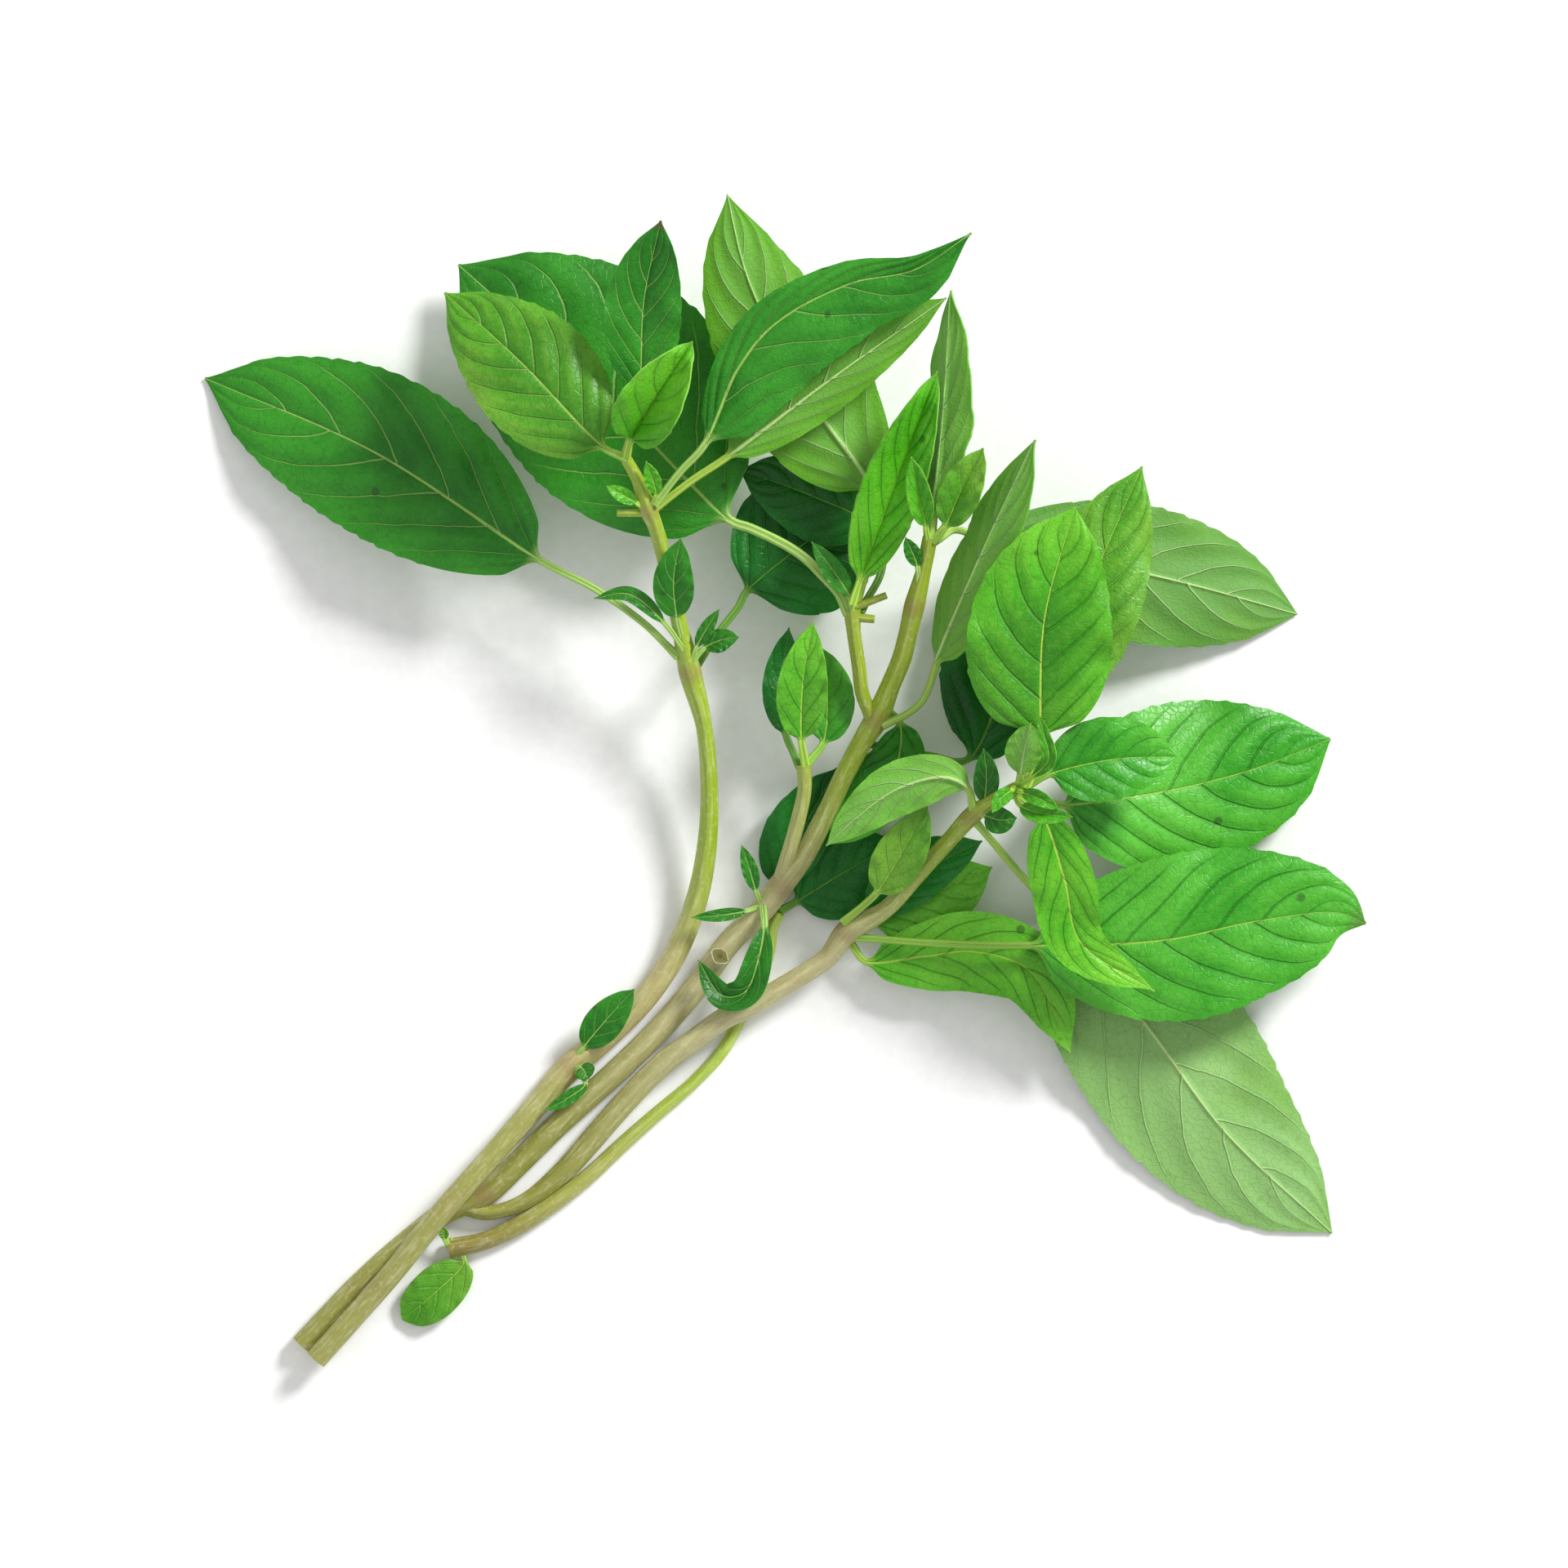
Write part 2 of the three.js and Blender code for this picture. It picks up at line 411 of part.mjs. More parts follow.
// A flat ring across a blade at t. Each half leaves the midrib at the fold angle, bends by the curl on its way
// out, and its margin goes up and down in a slow wave. tooth widens or narrows the margin alone.
function bladeRing(leaf, line, s, t, tooth, columns) {
  const centre = line.at(s);
  const { side, up } = line.frame(s, leaf.roll);
  const faces = [[], []];
  for (let j = 0; j < columns; j++) {
    const u = (2 * j) / (columns - 1) - 1;
    const hand = Math.sign(u);
    const margin = Math.abs(u) === 1 ? 1 + tooth : 1;
    const widest = leaf.width[u < 0 ? 0 : 1];
    const half = Math.max(TIP, widest * outline(t, leaf)) * margin;
    const distance = Math.abs(u) * half;
    const fold = leaf.fold * Math.min(1, half / FULL_FOLD);
    const chord = THREE.MathUtils.degToRad(fold + (leaf.curl * Math.abs(u)) / 2);
    const slope = u ? THREE.MathUtils.degToRad(fold + leaf.curl * Math.abs(u)) : 0;
    const wave = leaf.wave * Math.sin(Math.PI * (5 * t + (u < 0 ? 0.5 : 0))) * u * u * Math.sin(Math.PI * t);
    const spot = centre.clone().addScaledVector(side, hand * distance * Math.cos(chord));
    spot.addScaledVector(up, distance * Math.sin(chord) + wave);
    const out = up.clone().multiplyScalar(Math.cos(slope)).addScaledVector(side, -hand * Math.sin(slope));
    faces[0].push(spot.clone().addScaledVector(out, BLADE / 2));
    faces[1].push(spot.clone().addScaledVector(out, -BLADE / 2));
  }
  return faces.flat();
}

// One leaf: a round stalk that widens into the blade, with forward-leaning teeth along the outer margin.
function leafSolid(leaf, { columns, teeth, radius }) {
  const shape = { belly: 0.42, sharp: SHARPNESS, fold: 10, curl: 0, roll: 0, wave: 0, ...leaf };
  const line = new Line([...shape.stalk, ...shape.blade]);
  const base = line.lengthAtPoint(shape.stalk.length);
  const blade = line.length - base;
  const rings = [];
  for (let k = 0; k <= shape.stalk.length; k++) {
    const s = line.lengthAtPoint(k);
    rings.push(roundRing(line, s, radius, columns, shape.roll));
    const middle = k < shape.stalk.length ? (s + line.lengthAtPoint(k + 1)) / 2 : s;
    if (middle - s > 4) rings.push(roundRing(line, middle, radius, columns, shape.roll));
  }
  const stations = (teeth ? TOOTHED_START : PLAIN_STATIONS).map((t) => [t, 0]);
  const pitch = teeth ? (LAST_TOOTH - FIRST_TOOTH) / teeth : 0;
  for (let k = 0; k < teeth; k++) {
    const start = FIRST_TOOTH + k * pitch;
    stations.push([start, -TOOTH], [start + TOOTH_PEAK * pitch, TOOTH]);
  }
  if (teeth) stations.push([LAST_TOOTH, -TOOTH]);
  stations.push([1, 0]);
  for (const [t, tooth] of stations) {
    rings.push(bladeRing(shape, line, base + t * blade, t, tooth, columns));
  }
  return skin(rings, columns);
}

// A stem or a stub: a round limb whose radius follows its hand-placed points.
function limbSolid(points, sides) {
  const line = new Line(points);
  const rings = [];
  for (let k = 0; k < points.length; k++) {
    const s = line.lengthAtPoint(k);
    rings.push(roundRing(line, s, points[k][3], sides, 0));
    if (k === points.length - 1) break;
    const next = line.lengthAtPoint(k + 1);
    const radius = (points[k][3] + points[k + 1][3]) / 2;
    if (next - s > 6) rings.push(roundRing(line, (s + next) / 2, radius, sides, 0));
  }
  return skin(rings, sides);
}

// The block above the table: what is common to it and a solid is that solid trimmed flat where it rests.
function tableBlock() {
  const box = new THREE.BoxGeometry(TABLE, TABLE, TABLE);
  const corners = [];
  for (const x of [-1, 1]) for (const y of [-1, 1]) for (const z of [0, 1]) corners.push([x, y, z]);
  const number = ([x, y, z]) => corners.findIndex(([a, b, c]) => a === x && b === y && c === z);
  const place = box.getAttribute("position");
  const spot = (i) => number([Math.sign(place.getX(i)), Math.sign(place.getY(i)), place.getZ(i) > 0 ? 1 : 0]);
  const spots = corners.flatMap(([x, y, z]) => [(x * TABLE) / 2, (y * TABLE) / 2, z * TABLE]);
  const vertProperties = new Float32Array(spots);
  const triVerts = Uint32Array.from(box.index.array, spot);
  return new wasm.Manifold(new wasm.Mesh({ numProp: 3, vertProperties, triVerts }));
}

const aboveTable = tableBlock();

function meshOf(name, solid, tone) {
  const { vertProperties, triVerts } = solid.getMesh();
  const geometry = new THREE.BufferGeometry();
  geometry.setAttribute("position", new THREE.BufferAttribute(new Float32Array(vertProperties), 3));
  geometry.setIndex(new THREE.BufferAttribute(new Uint32Array(triVerts), 1));
  geometry.computeVertexNormals();
  const material = new THREE.MeshStandardMaterial({ color: COLOURS[tone], roughness: 0.55, metalness: 0 });
  const mesh = new THREE.Mesh(geometry, material);
  mesh.name = name;
  return mesh;
}

// A large leaf has more teeth than a short one, and a wide one has finer faces.
const LONG_BLADE = 24;
const WIDE_HALF = 6.6;

function largeLeaf(name, leaf) {
  const tip = leaf.blade[leaf.blade.length - 1];
  const long = Math.hypot(tip[0] - leaf.blade[0][0], tip[1] - leaf.blade[0][1]) > LONG_BLADE;
  const wide = Math.max(...leaf.width) > WIDE_HALF;
  const grid = { columns: wide ? FINE : PLAIN, teeth: long ? 5 : 3, radius: long ? STALK : 0.6 };
  const solid = leafSolid(leaf, grid);
  return meshOf(name, leaf.rests ? solid.intersect(aboveTable) : solid, leaf.tone);
}

function stem(name, { lines, small, stubs, tone }) {
  const limbs = lines.map((points) => limbSolid(points, STEM_SIDES));
  const leaves = small.map((leaf) => leafSolid(leaf, { columns: PLAIN, teeth: 0, radius: 0.5 }));
  const ends = stubs.map((points) => limbSolid(points, PLAIN));
  const whole = [...limbs, ...leaves, ...ends].reduce((sum, piece) => sum.add(piece));
  return meshOf(name, whole.intersect(aboveTable), tone);
}

const bunch = new THREE.Group();
for (const [name, parts] of Object.entries(STEMS)) bunch.add(stem(name, parts));
for (const [name, leaf] of Object.entries(LEAVES)) bunch.add(largeLeaf(name, leaf));
bunch.position.set(-MIDDLE_X, -MIDDLE_Y, 0);

const basil = new THREE.Group();
basil.add(bunch);

export default basil;
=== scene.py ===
import math

import bpy
import numpy as np
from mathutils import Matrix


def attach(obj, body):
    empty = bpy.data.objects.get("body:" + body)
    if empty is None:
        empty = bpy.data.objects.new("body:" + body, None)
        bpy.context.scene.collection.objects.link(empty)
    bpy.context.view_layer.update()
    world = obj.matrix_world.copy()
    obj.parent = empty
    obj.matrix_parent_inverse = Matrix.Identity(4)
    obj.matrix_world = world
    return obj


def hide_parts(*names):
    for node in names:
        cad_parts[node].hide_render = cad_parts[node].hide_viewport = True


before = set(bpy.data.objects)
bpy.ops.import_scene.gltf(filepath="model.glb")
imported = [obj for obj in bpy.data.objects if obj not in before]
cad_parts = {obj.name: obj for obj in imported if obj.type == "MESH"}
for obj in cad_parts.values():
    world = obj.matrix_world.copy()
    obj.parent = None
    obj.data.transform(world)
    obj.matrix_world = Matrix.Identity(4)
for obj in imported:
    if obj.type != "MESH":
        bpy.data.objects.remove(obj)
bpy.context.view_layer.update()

# The three stems. A cut basil stem is a juicy four-sided rod with a shallow groove down each face. It is
# straw green where it was cut, greener towards the top, and swollen and tinged brown where its leaves grow
# out in pairs. Each is drawn from given points [x, y, z, radius] in millimetres, seen from above.

MM = 0.001
MIDDLE = np.array([0.03, 0.35, 0.0])     # middle of the bunch's outline in the plan of the points
SPAN_SAMPLES = 16                        # samples of a smooth line from one of its points to the next
LOOK = 0.4                               # millimetres looked back and ahead for a line's direction
STEM_SIDES = 28
STEM_STEP = 1.0                          # millimetres from ring to ring
CUT_END, REACH = 192.0, 235.0            # x + y of the cut ends, turned positive, and from there to the tops
SQUARE = 0.075                           # how far the four edges stand out, as a part of the radius
JOINT_REACH = 2.6                        # how far the brown tinge of a joint spreads along the stem
END_RINGS = np.array([0.02, 0.45, 0.9, 0.985])    # the rings that close an end, as parts of its radius
END_CUT = np.array([1.0, 0.8, 0.6])      # how strongly the inner three of them look cut
SHARP_ANGLE = 55                         # degrees between two faces that shade as an edge


def smooth_line(points):
    """Centripetal curve through points: each span from B to C is the cubic with its end slopes, where a
    point's slope is that of the parabola through it and both neighbours, with knots as far apart as the
    square root of the distances. Gives dense samples of the curve and the length up to each."""
    p = np.array(points, float)
    ends = np.vstack([2 * p[0] - p[1], p, 2 * p[-1] - p[-2]])
    chord = np.diff(ends, axis=0)
    knot = np.sqrt(np.linalg.norm(chord, axis=1))[:, None]
    slope = (knot[:-1] * chord[1:] / knot[1:] + knot[1:] * chord[:-1] / knot[:-1]) / (knot[:-1] + knot[1:])
    b, c, start, stop = p[:-1], p[1:], slope[:-1] * knot[1:-1], slope[1:] * knot[1:-1]
    t = (np.arange(SPAN_SAMPLES) / SPAN_SAMPLES)[:, None, None]
    curve = (b * (2 * t**3 - 3 * t**2 + 1) + start * (t**3 - 2 * t**2 + t)
             + c * (3 * t**2 - 2 * t**3) + stop * (t**3 - t**2))
    curve = np.vstack([curve.transpose(1, 0, 2).reshape(-1, 3), p[-1]])
    steps = np.linalg.norm(np.diff(curve, axis=0), axis=1)
    return curve, np.concatenate([[0.0], np.cumsum(steps)])


def along_line(curve, lengths, s):
    """Places at the lengths s, and three directions there: along the line, level to its right, and up."""
    def place(x):
        return np.stack([np.interp(x, lengths, curve[:, k]) for k in range(3)], axis=-1)
    top = lengths[-1]
    ahead = place(np.clip(s + LOOK, 0, top)) - place(np.clip(s - LOOK, 0, top))
    ahead /= np.linalg.norm(ahead, axis=-1, keepdims=True)
    side = np.cross(ahead, [0.0, 0.0, 1.0])
    side /= np.linalg.norm(side, axis=-1, keepdims=True)
    return place(s), ahead, side, np.cross(side, ahead)


def limb_surface(points):
    """A rod round a smooth line, with the ring radius r(s) (1 + SQUARE cos 4a) at the angle a, which gives
    four edges. Rings that shrink to its middle close each end. Gives points, faces and values for the
    finish."""
    curve, lengths = smooth_line([p[:3] for p in points])
    spots = lengths[::SPAN_SAMPLES]
    radii = np.array([p[3] for p in points])
    s = np.linspace(0, lengths[-1], max(4, int(lengths[-1] / STEM_STEP)))
    r = np.interp(s, spots, radii)
    s_all = np.concatenate([np.zeros(len(END_RINGS)), s, np.full(len(END_RINGS), lengths[-1])])
    size = np.concatenate([END_RINGS * radii[0], r, END_RINGS[::-1] * radii[-1]])
    place, _, side, up = along_line(curve, lengths, s_all)
    angle = np.linspace(0, 2 * np.pi, STEM_SIDES, endpoint=False)
    reach = size[:, None] * (1 + SQUARE * np.cos(4 * angle))
    rings = (place[:, None] + side[:, None] * (reach * np.cos(angle))[..., None]
             + up[:, None] * (reach * np.sin(angle))[..., None])
    rings[..., 2] = np.maximum(rings[..., 2], 0.0)
    ring, step = np.meshgrid(np.arange(len(s_all) - 1), np.arange(STEM_SIDES), indexing="ij")
    after = (step + 1) % STEM_SIDES
    quads = np.stack([ring * STEM_SIDES + step, (ring + 1) * STEM_SIDES + step,
                      (ring + 1) * STEM_SIDES + after, ring * STEM_SIDES + after], axis=-1).reshape(-1, 4)
    first_ring = list(range(STEM_SIDES))
    last_ring = list(range((len(s_all) - 1) * STEM_SIDES, len(s_all) * STEM_SIDES))
    swollen = [spots[k] for k in range(1, len(points) - 1) if radii[k] > max(radii[k - 1], radii[k + 1])]
    joint = sum(np.exp(-(((s_all - k) / JOINT_REACH) ** 2)) for k in swollen) if swollen else 0 * s_all
    cut = np.concatenate([END_CUT, np.zeros(len(s_all) - 2 * len(END_CUT)), END_CUT[::-1]])
    values = {
        "grown": np.repeat(np.clip((place[:, 0] + place[:, 1] + CUT_END) / REACH, 0, 1), STEM_SIDES),
        "joint": np.repeat(joint, STEM_SIDES),
        "cut": np.repeat(cut, STEM_SIDES),
        "round": np.tile(angle / (2 * np.pi), len(s_all)),
    }
    return rings.reshape(-1, 3), quads.tolist() + [first_ring, last_ring[::-1]], values


def piece_from(name, surfaces, material, replaced=None):
    """One object made of several closed surfaces, whose points are already in place. Each surface's values
    become attributes of the points."""
    points, faces, start = [], [], 0
    for surface_points, surface_faces, _ in surfaces:
        points.append(surface_points)
        faces.extend([[start + i for i in face] for face in surface_faces])
        start += len(surface_points)
    mesh = bpy.data.meshes.new(name)
    mesh.from_pydata(((np.vstack(points) - MIDDLE) * MM).tolist(), [], faces)
    for key in surfaces[0][2]:
        joined = np.concatenate([values[key] for _, _, values in surfaces]).astype(np.float32)
        mesh.attributes.new(key, "FLOAT", "POINT").data.foreach_set("value", joined)
    mesh.polygons.foreach_set("use_smooth", [True] * len(mesh.polygons))
    mesh.set_sharp_from_angle(angle=math.radians(SHARP_ANGLE))
    mesh.materials.append(material)
    piece = bpy.data.objects.new(name, mesh)
    bpy.context.collection.objects.link(piece)
    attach(piece, "root")
    if replaced:
        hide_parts(replaced)


def shade(code):
    """A colour written as a web code, as the four linear values that a shader takes."""
    parts = [int(code[k:k + 2], 16) / 255 for k in (1, 3, 5)]
    return [c / 12.92 if c <= 0.04045 else ((c + 0.055) / 1.055) ** 2.4 for c in parts] + [1.0]


class Finish:
    """A material under construction: short calls that add nodes and join them to the shader. Where a call
    takes a value, it may be a number, a colour or another node's output."""

    def __init__(self, name, roughness, gloss):
        self.material = bpy.data.materials.new(name)
        self.material.use_nodes = True
        self.tree = self.material.node_tree
        self.shader = self.tree.nodes["Principled BSDF"]
        self.shader.inputs["Roughness"].default_value = roughness
        self.shader.inputs["Specular IOR Level"].default_value = gloss

    def node(self, kind, inputs, **settings):
        made = self.tree.nodes.new(kind)
        for key, value in settings.items():
            setattr(made, key, value)
        for socket, value in inputs.items():
            self.join(value, made.inputs[socket])
        return made

    def join(self, value, socket):
        if isinstance(value, bpy.types.NodeSocket):
            self.tree.links.new(value, socket)
        else:
            socket.default_value = value

    def value(self, name):
        """A value of the points, by the name of its attribute."""
        return self.node("ShaderNodeAttribute", {}, attribute_name=name).outputs["Fac"]

    def math(self, operation, a, b=0.0):
        return self.node("ShaderNodeMath", {0: a, 1: b}, operation=operation).outputs[0]

    def ramp(self, value, low, high, start=0.0, end=1.0):
        """Smooth step from start, at the value low, to end, at the value high. Low may be the larger one."""
        inputs = {"Value": value, "From Min": low, "From Max": high, "To Min": start, "To Max": end}
        return self.node("ShaderNodeMapRange", inputs, interpolation_type="SMOOTHSTEP").outputs[0]

    def mix(self, share, first, second):
        made = self.node("ShaderNodeMix", {}, data_type="RGBA")
        self.join(share, made.inputs[0])
        self.join(first, made.inputs[6])
        self.join(second, made.inputs[7])
        return made.outputs[2]

    def vector(self, x, y):
        return self.node("ShaderNodeCombineXYZ", {0: x, 1: y}).outputs[0]

    def place(self):
        return self.node("ShaderNodeTexCoord", {}).outputs["Object"]

    def noise(self, scale, detail=2.0, vector=None):
        inputs = {"Vector": vector or self.place(), "Scale": scale, "Detail": detail}
        return self.node("ShaderNodeTexNoise", inputs).outputs["Fac"]

    def bump(self, height, depth):
        made = self.node("ShaderNodeBump", {"Height": height, "Distance": depth, "Strength": 1.0})
        self.join(made.outputs["Normal"], self.shader.inputs["Normal"])


STREAK_DEPTH = 0.00009         # metres between the crest and the foot of a streak
BROWN = "#8c6a48"


def stem_finish(name, low, middle, high, turns, brown):
    """Fresh stem. Its colour runs from low at the cut, by a paler middle, to high at the top, and is brown
    at the joints. The turns say how far up each of the two changes starts and ends. Pale and dark streaks
    lie along it, from a stretched noise, with fine specks between them. The cut faces show a pale spotted
    pith low down, the broken stub half way up has dried brown, and the ends near the top are green."""
    f = Finish(name, 0.36, 0.55)
    grown, around = f.value("grown"), f.value("round")
    streaks = f.noise(1.0, 3.0, f.vector(f.math("MULTIPLY", around, 17.0), f.math("MULTIPLY", grown, 34.0)))
    blotches = f.noise(90.0, 3.0)
    colour = f.mix(f.ramp(grown, turns[0], turns[1]), shade(low), shade(middle))
    colour = f.mix(f.ramp(grown, turns[2], turns[3]), colour, shade(high))
    pale_streak = f.mix(grown, shade("#dcdabb"), shade("#d5dd8c"))
    dark_streak = f.mix(grown, shade("#77752c"), shade("#7d8c1e"))
    colour = f.mix(f.ramp(streaks, 0.5, 0.7, 0.0, 0.32), colour, pale_streak)
    colour = f.mix(f.ramp(streaks, 0.46, 0.3, 0.0, 0.26), colour, dark_streak)
    colour = f.mix(f.ramp(blotches, 0.54, 0.74, 0.0, 0.16), colour, shade(brown))
    colour = f.mix(f.ramp(f.noise(1100.0, 2.0), 0.54, 0.72, 0.0, 0.2), colour, shade("#dcdabf"))
    colour = f.mix(f.ramp(f.value("joint"), 0.25, 1.1, 0.0, 0.45), colour, shade(brown))
    pith = f.mix(f.ramp(f.noise(900.0, 2.0), 0.4, 0.65), shade("#d8cf9d"), shade("#a39a5e"))
    pith = f.mix(f.ramp(grown, 0.3, 0.45), pith, shade("#5c5820"))
    pith = f.mix(f.ramp(grown, 0.72, 0.8), pith, shade("#a9b650"))
    pith = f.mix(f.ramp(f.value("cut"), 0.8, 1.0, 0.0, 0.55), pith, shade("#3a3312"))
    colour = f.mix(f.ramp(f.value("cut"), 0.1, 0.5), colour, pith)
    f.join(colour, f.shader.inputs["Base Color"])
    rough = f.math("MAXIMUM", f.ramp(streaks, 0.35, 0.7, 0.24, 0.4), f.value("cut"))
    f.join(rough, f.shader.inputs["Roughness"])
    f.bump(f.math("ADD", streaks, f.math("MULTIPLY", f.noise(1500.0, 2.0), 0.25)), STREAK_DEPTH)
    return f.material


straw_stem = stem_finish("straw_stem", "#8d8f3e", "#b4ae7c", "#8fa32a", (0.3, 0.6, 0.7, 0.9), BROWN)
green_stem = stem_finish("green_stem", "#97984c", "#b3a970", "#92ac2c", (0.3, 0.5, 0.56, 0.72), BROWN)
thin_stem = stem_finish("thin_stem", "#8a803a", "#a3a850", "#a3bb44", (0.2, 0.36, 0.36, 0.5), "#7d5f34")

LEFT_STEM = [
    [[-86.4, -106.2, 4.2, 1.9], [-72.5, -90.5, 5.4, 1.9], [-64, -80, 6.3, 1.9], [-54, -68.7, 5, 1.9],
     [-45.8, -59.4, 3.2, 2], [-39.5, -52.2, 2.15, 2.4], [-32.3, -46.2, 2.1, 2.1], [-25.5, -39.3, 2.6, 2.1],
     [-19.8, -30.8, 3.2, 2], [-16, -21, 4.5, 1.9], [-14.1, -10.5, 6.5, 1.7], [-13.8, 0, 9, 1.5],
     [-14.7, 10.5, 11.5, 1.4], [-17.3, 20.7, 14.5, 2], [-19, 28.5, 17.5, 1.4], [-21.3, 39, 21, 1.35],
     [-23.6, 47.3, 24, 1.3], [-24.9, 50.3, 25.5, 1.6], [-26.7, 55.5, 28, 1.1], [-28.8, 59.3, 30.5, 1]],
    [[-25.3, 49.6, 25.2, 0.7], [-30.5, 49.5, 26, 0.6]],
]
MIDDLE_STEM = [
    [[-89.1, -103.7, 1.8, 2], [-78, -92, 1.75, 1.95], [-69, -84, 1.75, 1.95], [-62.3, -79, 1.78, 2],
     [-55.5, -75.8, 1.85, 2.2], [-48, -69, 1.88, 2.1], [-41.6, -62.7, 1.9, 2.1], [-30, -52.2, 2.1, 2.1],
     [-21.9, -44.1, 2.5, 2.1], [-15.2, -36.2, 3.2, 2.1], [-10, -29.1, 4, 2.1], [-4.2, -23.4, 5, 2.1],
     [-0.5, -18.6, 6, 2.2], [3.8, -12.9, 7.5, 1.9], [7.8, -5.3, 9.5, 1.7], [11.3, 2, 11.5, 1.7],
     [14.7, 8.3, 13, 1.8], [17, 12, 14, 2.1], [19.5, 18, 16, 1.7], [21.6, 23.1, 18, 1.7],
     [22.8, 28, 20, 1.6], [23.9, 32.7, 22, 1.8], [25.5, 39, 24.5, 1.3], [26.7, 45, 27, 1.3]],
    [[16.4, 11, 13.8, 1.2], [15.6, 13.4, 14.4, 1.2], [14.4, 16.5, 15, 1.2], [13.7, 21.8, 16.5, 1.2],
     [12.8, 27.8, 18, 1.2], [12.5, 32, 19, 1.5]],
    [[-0.9, -17.6, 6.4, 1.1], [0, -15.4, 7.6, 1.3], [2.6, -6.6, 10.6, 1.3], [3.8, -0.9, 12.4, 1.2],
     [3.6, 3.5, 13.5, 1.3]],
    [[-59.5, -78.2, 1.9, 1.3], [-55.2, -79.2, 1.9, 1.3], [-50.6, -78.3, 1.9, 1.3], [-46.4, -76.2, 1.9, 1.5],
     [-40.5, -71.3, 2, 1.9], [-35.4, -65.6, 2.2, 2], [-29.9, -59.3, 2.6, 2], [-22.8, -52, 3.4, 2],
     [-16.8, -47.4, 4.4, 1.9], [-11, -43.2, 5.2, 1.9], [-5.9, -40.7, 5.4, 1.9], [1.7, -36.2, 5.2, 1.7],
     [8, -32, 5.4, 1.7], [11.6, -27.3, 6.5, 2.1], [18.8, -23, 9.8, 1.5], [24.5, -16.7, 13.2, 1.5],
     [30.6, -10, 17.5, 1.4], [34.5, -5.7, 21, 1.6], [38.3, -3, 24, 1.2], [42.8, -0.8, 27, 1.3]],
    [[13, 32.4, 19, 0.7], [18.8, 34.6, 19.6, 0.6]],
    [[13, 30.6, 18.6, 0.8], [16.6, 30.2, 18.8, 0.7]],
    [[-13.2, -33.4, 4.6, 1.6], [-12.2, -32.2, 6.1, 1.5], [-11.8, -31.7, 6.9, 1.7]],
]
SLENDER_STEM = [
    [[-62, -85.8, 1.5, 1.7], [-55.6, -84.5, 1.5, 1.6], [-49.7, -81.9, 1.5, 1.6], [-43.1, -77.7, 1.5, 1.5],
     [-36.6, -72.8, 1.4, 1.4], [-28.8, -65.6, 1.3, 1.3], [-22.8, -60.3, 1.2, 1.2], [-16.5, -54.9, 1.2, 1.1],
     [-11.4, -49.4, 1.1, 1.1], [-8.1, -43.5, 1.1, 1], [-5, -37.5, 1.6, 1], [-2.7, -30.8, 2.4, 1],
     [-2.1, -26.3, 3, 1], [-0.8, -23.7, 3.4, 1]],
]
STEMS = {                      # by the node that each replaces: its limbs, its material and its slot
    "left_stem": (LEFT_STEM, green_stem, "stem_green"),
    "middle_stem": (MIDDLE_STEM, straw_stem, "stem_straw"),
    "slender_stem": (SLENDER_STEM, thin_stem, "stem_green"),
}
for node, (limbs, material, slot) in STEMS.items():
    piece_from(node + "_rod", [limb_surface(points) for points in limbs], material, node)

# The grown leaves. A basil leaf is one thin blade on a grooved stalk. It has a sunken midrib, four to seven
# pairs of side veins that bend towards the tip, soft pillows between them, and shallow teeth that lean
# forward. The upper face is deep satin green, the underside pale and matt with its veins raised.

BLADE = 0.4                    # millimetres of thickness
TIP = 0.15                     # half the width of the very tip
TIP_PART = 0.12                # last part of the blade's length, where its outline is drawn in
FIRST_TOOTH, LAST_TOOTH = 0.25, 0.97
TOOTH = 0.55                   # how far a tooth stands out from the notches beside it
TOOTH_PITCH = 3.9              # millimetres from tooth to tooth
TOOTH_PEAK = 0.7               # where in its pitch a tooth is highest
FULL_FOLD = 3.0                # a blade narrower than this, each side of its midrib, is folded less
FULL_PUFF = 13.0               # and one narrower than this has lower pillows
STALK_SINK = 2.1               # how far a stalk's own end runs into the stem
JOIN = 0.07                    # part of the blade's length over which the round stalk flattens
VEIN_LEAN, VEIN_BEND = 0.23, 0.15    # how far the side veins run towards the tip: straight, then bent
VEIN_SHIFT = 0.22              # how far the veins of the two halves lie apart, in pitches
RIPPLE, BULGE = 0.22, 0.055    # small waves: millimetres at the margin, and a part of the half-width
GROOVE, GROOVE_REACH = 0.14, 0.5     # depth and half-breadth of the groove over the midrib
ROWS, COLUMNS = 2.2, 2.0       # rows of points for a millimetre of length, columns for one of half-width
LEAF_FORM = {                  # what a leaf has where its own entry doesn't say it
    "belly": 0.42,             # where along the blade it is broadest
    "sharp": 1.5,              # how pointed its outline is
    "fold": 10.0,              # degrees by which each half rises from the midrib
    "curl": 0.0,               # degrees by which it bends further on the way to its margin
    "roll": 0.0,               # degrees that the blade is turned about its midrib; 180 shows the under face
    "wave": 0.3,               # millimetres by which the margin rises and falls
    "pairs": 6,                # pairs of side veins
    "pillow": 0.45,            # millimetres by which the blade swells between them
    "toothed": 1.0,            # size of the teeth, 1 for full ones
    "stalk_radius": 0.7,
    "tip": 0.0,                # how brown the tip is
}


